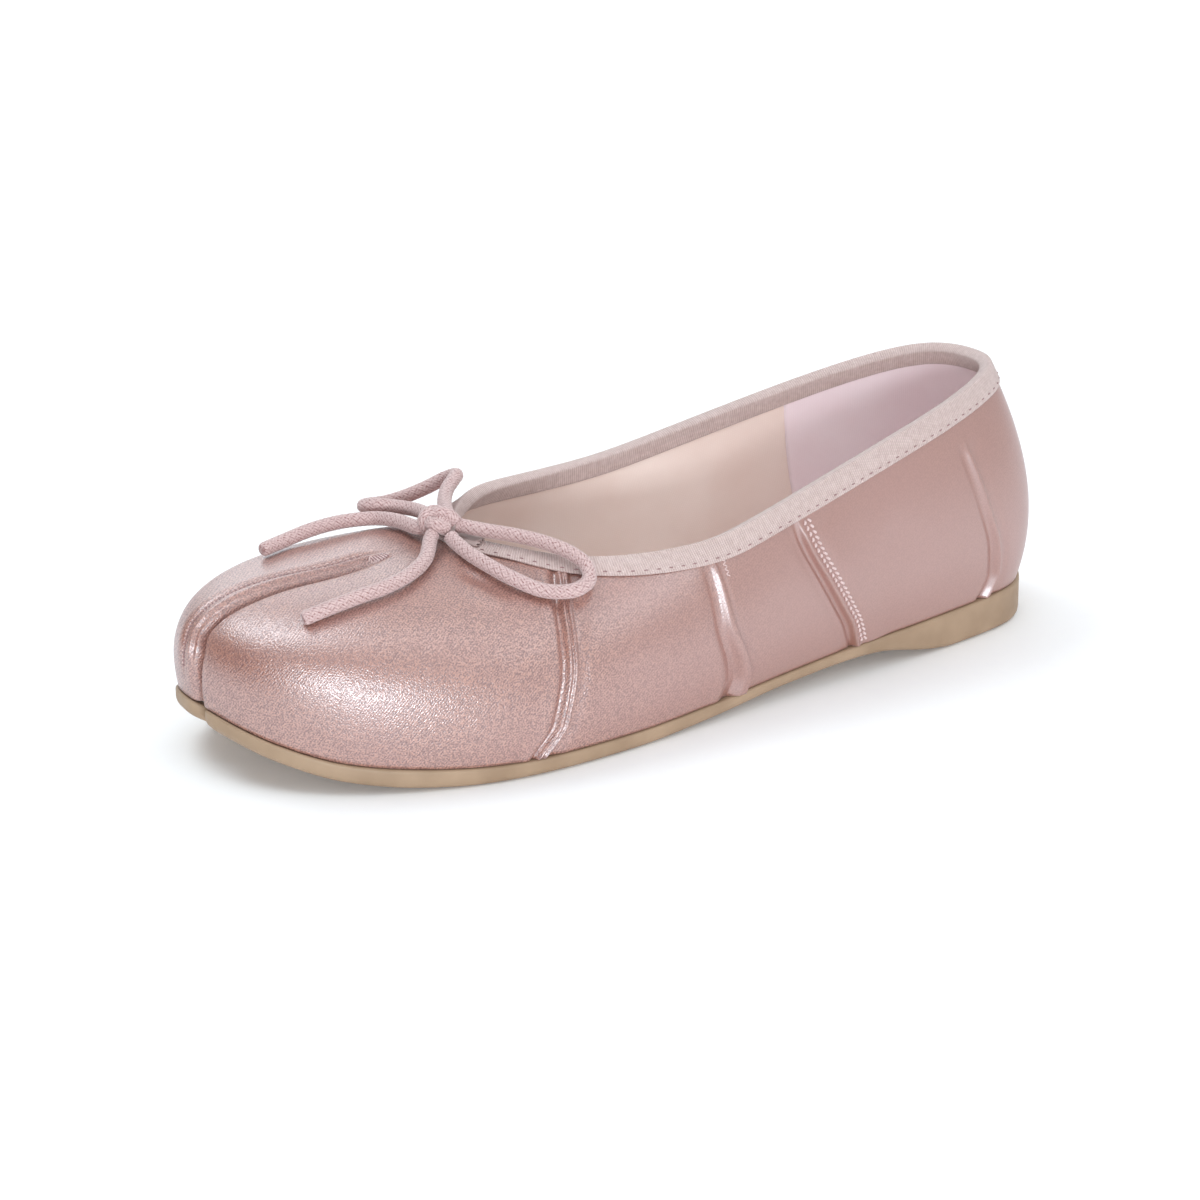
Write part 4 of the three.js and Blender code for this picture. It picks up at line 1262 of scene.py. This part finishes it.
def add_slab(name, u, edge, margin, bottom, top, finish):
    """A piece with the plan of the shoe between two curves of the side view, with a shaped edge."""
    rings = []
    for inset, height in edge:
        plan = plan_outline(u, margin - inset, inset)
        thickness = top(plan[:, 0]) - bottom(plan[:, 0])
        share = height / thickness if height >= 0 else 1 + height / thickness
        rings.append(np.column_stack([plan, share * T_SCALE]))
    points = np.stack(rings, axis=1)
    columns, rows = points.shape[:2]
    shape = bmesh.new()
    corners = [[shape.verts.new(p) for p in column] for column in points]
    for i in range(columns):
        here, after = corners[i], corners[(i + 1) % columns]
        for k in range(rows - 1):
            shape.faces.new((here[k], here[k + 1], after[k + 1], after[k]))
    shape.faces.new([corner[0] for corner in corners])
    shape.faces.new([corner[-1] for corner in reversed(corners)])
    for station in stations_between(SOLE_ROWS[:, 0], 5):
        everything = shape.verts[:] + shape.edges[:] + shape.faces[:]
        cut = {"plane_co": (station, 0, 0), "plane_no": (1, 0, 0), "dist": 1e-4}
        bmesh.ops.bisect_plane(shape, geom=everything, **cut)
    bmesh.ops.triangulate(shape, faces=[face for face in shape.faces if len(face.verts) > 4])
    shape.verts.index_update()
    flat = np.array([vert.co[:] for vert in shape.verts])
    low, high = bottom(flat[:, 0]), top(flat[:, 0])
    bent = np.column_stack([flat[:, :2], low + (high - low) * flat[:, 2] / T_SCALE])
    faces = [[vert.index for vert in face.verts] for face in shape.faces]
    shape.free()
    return add_piece(name, bent, faces, finish)


outline_u = girth_columns(1.5, 1.2, 0.25)
sole = add_slab(
    "sole", outline_u, SOLE_EDGE, SOLE_MARGIN,
    lambda x: sole_height(BOTTOM, x), lambda x: sole_height(TOP, x), rubber_finish,
)
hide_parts("outsole")
print("sole:", len(sole.data.polygons), "faces")

# %% [markdown]
# ## The insole
# A thin padded sock lies on the board inside. It is hardly seen in the photograph, but it is the first
# thing seen from above, so it gets a rounded edge and a soft suede-like finish.

# %% Make the insole
insole_finish = Finish("insole_suede", Sheen_Weight=0.25, Sheen_Roughness=0.7)
nap = insole_finish.grain(0.0006, detail=4)
pressed = insole_finish.grain(0.03, detail=2)
nap_share = insole_finish.ramp(nap, 0.3, 0.7)
sock_tone = insole_finish.mix(nap_share, linear(202, 184, 176), linear(218, 202, 195))
pressed_share = insole_finish.ramp(pressed, 0.4, 0.7, 0, 0.35)
insole_finish.colour(insole_finish.mix(pressed_share, sock_tone, linear(196, 175, 168)))
insole_finish.rough(insole_finish.ramp(nap, 0.3, 0.7, 0.72, 0.86))
insole_finish.bump(nap, 0.0001, 0.5)
INSOLE_INSET = 2.9
INSOLE_THICKNESS = 2.0
INSOLE_EDGE = ((0.5, 0.0), (0.0, 0.5), (0.0, -0.8), (0.25, -0.3), (0.9, -0.04), (1.8, -0.001))
insole = add_slab(
    "insole_sock", outline_u, INSOLE_EDGE, -INSOLE_INSET,
    lambda x: sole_height(TOP, x) + STITCH_GAP,
    lambda x: sole_height(TOP, x) + STITCH_GAP + INSOLE_THICKNESS,
    insole_finish,
)
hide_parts("insole")
print("insole:", len(insole.data.polygons), "faces")

# %% [markdown]
# ## Floor and light
# The shoe stands on a white sweep in a light tent. The tent is open, so dark, ahead of the toe, which
# gives the satin its deep tones. Two low strips on the outer side draw the long highlight over the toe,
# softboxes behind and beyond light the far lobe and the rim, and weaker ones fill the top, the heel and
# the inside.

# %% Make the floor
floor_finish = Finish("white_sweep", Roughness=0.9, Specular_IOR_Level=0.1, Emission_Strength=0.06)
floor_grain = floor_finish.grain(0.004, detail=2)
floor_finish.colour(floor_finish.mix(floor_grain, linear(246, 246, 247), linear(250, 250, 251)))
floor_mesh = bpy.data.meshes.new("floor")
FLOOR_HALF = 4.0
floor_corners = [(FLOOR_HALF * x, FLOOR_HALF * y, 0) for x, y in ((-1, -1), (1, -1), (1, 1), (-1, 1))]
floor_mesh.from_pydata(floor_corners, [], [(0, 1, 2, 3)])
floor_mesh.materials.append(floor_finish.material)
floor = bpy.data.objects.new("floor", floor_mesh)
bpy.context.scene.collection.objects.link(floor)
print("floor:", 2 * FLOOR_HALF, "m square")

# %% Set the sky
SKY_STRENGTH = 0.62
DARK_TOWARD = (0.98, -0.09, 0.17)
DARK_FROM, DARK_WHOLLY = np.cos(np.radians((75, 25)))
sky = bpy.data.worlds.new("light_tent")
sky.use_nodes = True
sky_nodes, sky_links = sky.node_tree.nodes, sky.node_tree.links
direction = sky_nodes.new("ShaderNodeTexCoord")
ahead = sky_nodes.new("ShaderNodeVectorMath")
ahead.operation = "DOT_PRODUCT"
ahead.inputs[1].default_value = DARK_TOWARD
fall = sky_nodes.new("ShaderNodeMapRange")
fall.interpolation_type = "SMOOTHSTEP"
fall.inputs["From Min"].default_value = DARK_FROM
fall.inputs["From Max"].default_value = DARK_WHOLLY
fall.inputs["To Min"].default_value = SKY_STRENGTH
fall.inputs["To Max"].default_value = 0
sky_links.new(direction.outputs["Generated"], ahead.inputs[0])
sky_links.new(ahead.outputs["Value"], fall.inputs["Value"])
sky_links.new(fall.outputs["Result"], sky_nodes["Background"].inputs["Strength"])
sky_nodes["Background"].inputs["Color"].default_value = (1, 1, 1, 1)
bpy.context.scene.world = sky
print("sky:", SKY_STRENGTH, "and dark ahead of the toe")

# %% Set the lamps
LAMP_COLOUR = (0.88, 0.96, 1.0)


def soft_lamp(name, azimuth, elevation, distance, size, power, aim=(0.02, 0.0, 0.03)):
    """A rectangular lamp that looks at the shoe; azimuth 0 is in front of the toe, 90 on the outer side."""
    turn, rise = np.radians((azimuth, elevation))
    lamp = bpy.data.lights.new(name, "AREA")
    lamp.shape = "RECTANGLE"
    lamp.size, lamp.size_y = size
    lamp.energy = power
    lamp.color = LAMP_COLOUR
    held = bpy.data.objects.new(name, lamp)
    bpy.context.scene.collection.objects.link(held)
    away = Vector((np.cos(turn) * np.cos(rise), np.sin(turn) * np.cos(rise), np.sin(rise)))
    held.location = Vector(aim) + away * distance
    held.rotation_euler = (-away).to_track_quat("-Z", "Y").to_euler()
    return held


soft_lamp("front_strip", 40, 14, 1.3, (0.45, 0.2), 2.7)
soft_lamp("side_strip", 62, 6, 1.3, (0.45, 0.15), 6.7)
soft_lamp("back_softbox", -50, 60, 1.2, (0.8, 0.5), 6.1)
soft_lamp("top_softbox", 60, 80, 1.3, (0.8, 0.6), 2.4)
soft_lamp("heel_softbox", 128, 38, 1.3, (1.0, 0.7), 2.8)
soft_lamp("rear_softbox", -160, 35, 1.3, (1.0, 0.7), 2.6)
soft_lamp("far_softbox", -109, 20, 1.3, (0.8, 0.55), 3.2)
soft_lamp("bridge_softbox", 16, 36, 1.3, (0.3, 0.3), 0.6)
bpy.context.scene.view_settings.view_transform = "Standard"
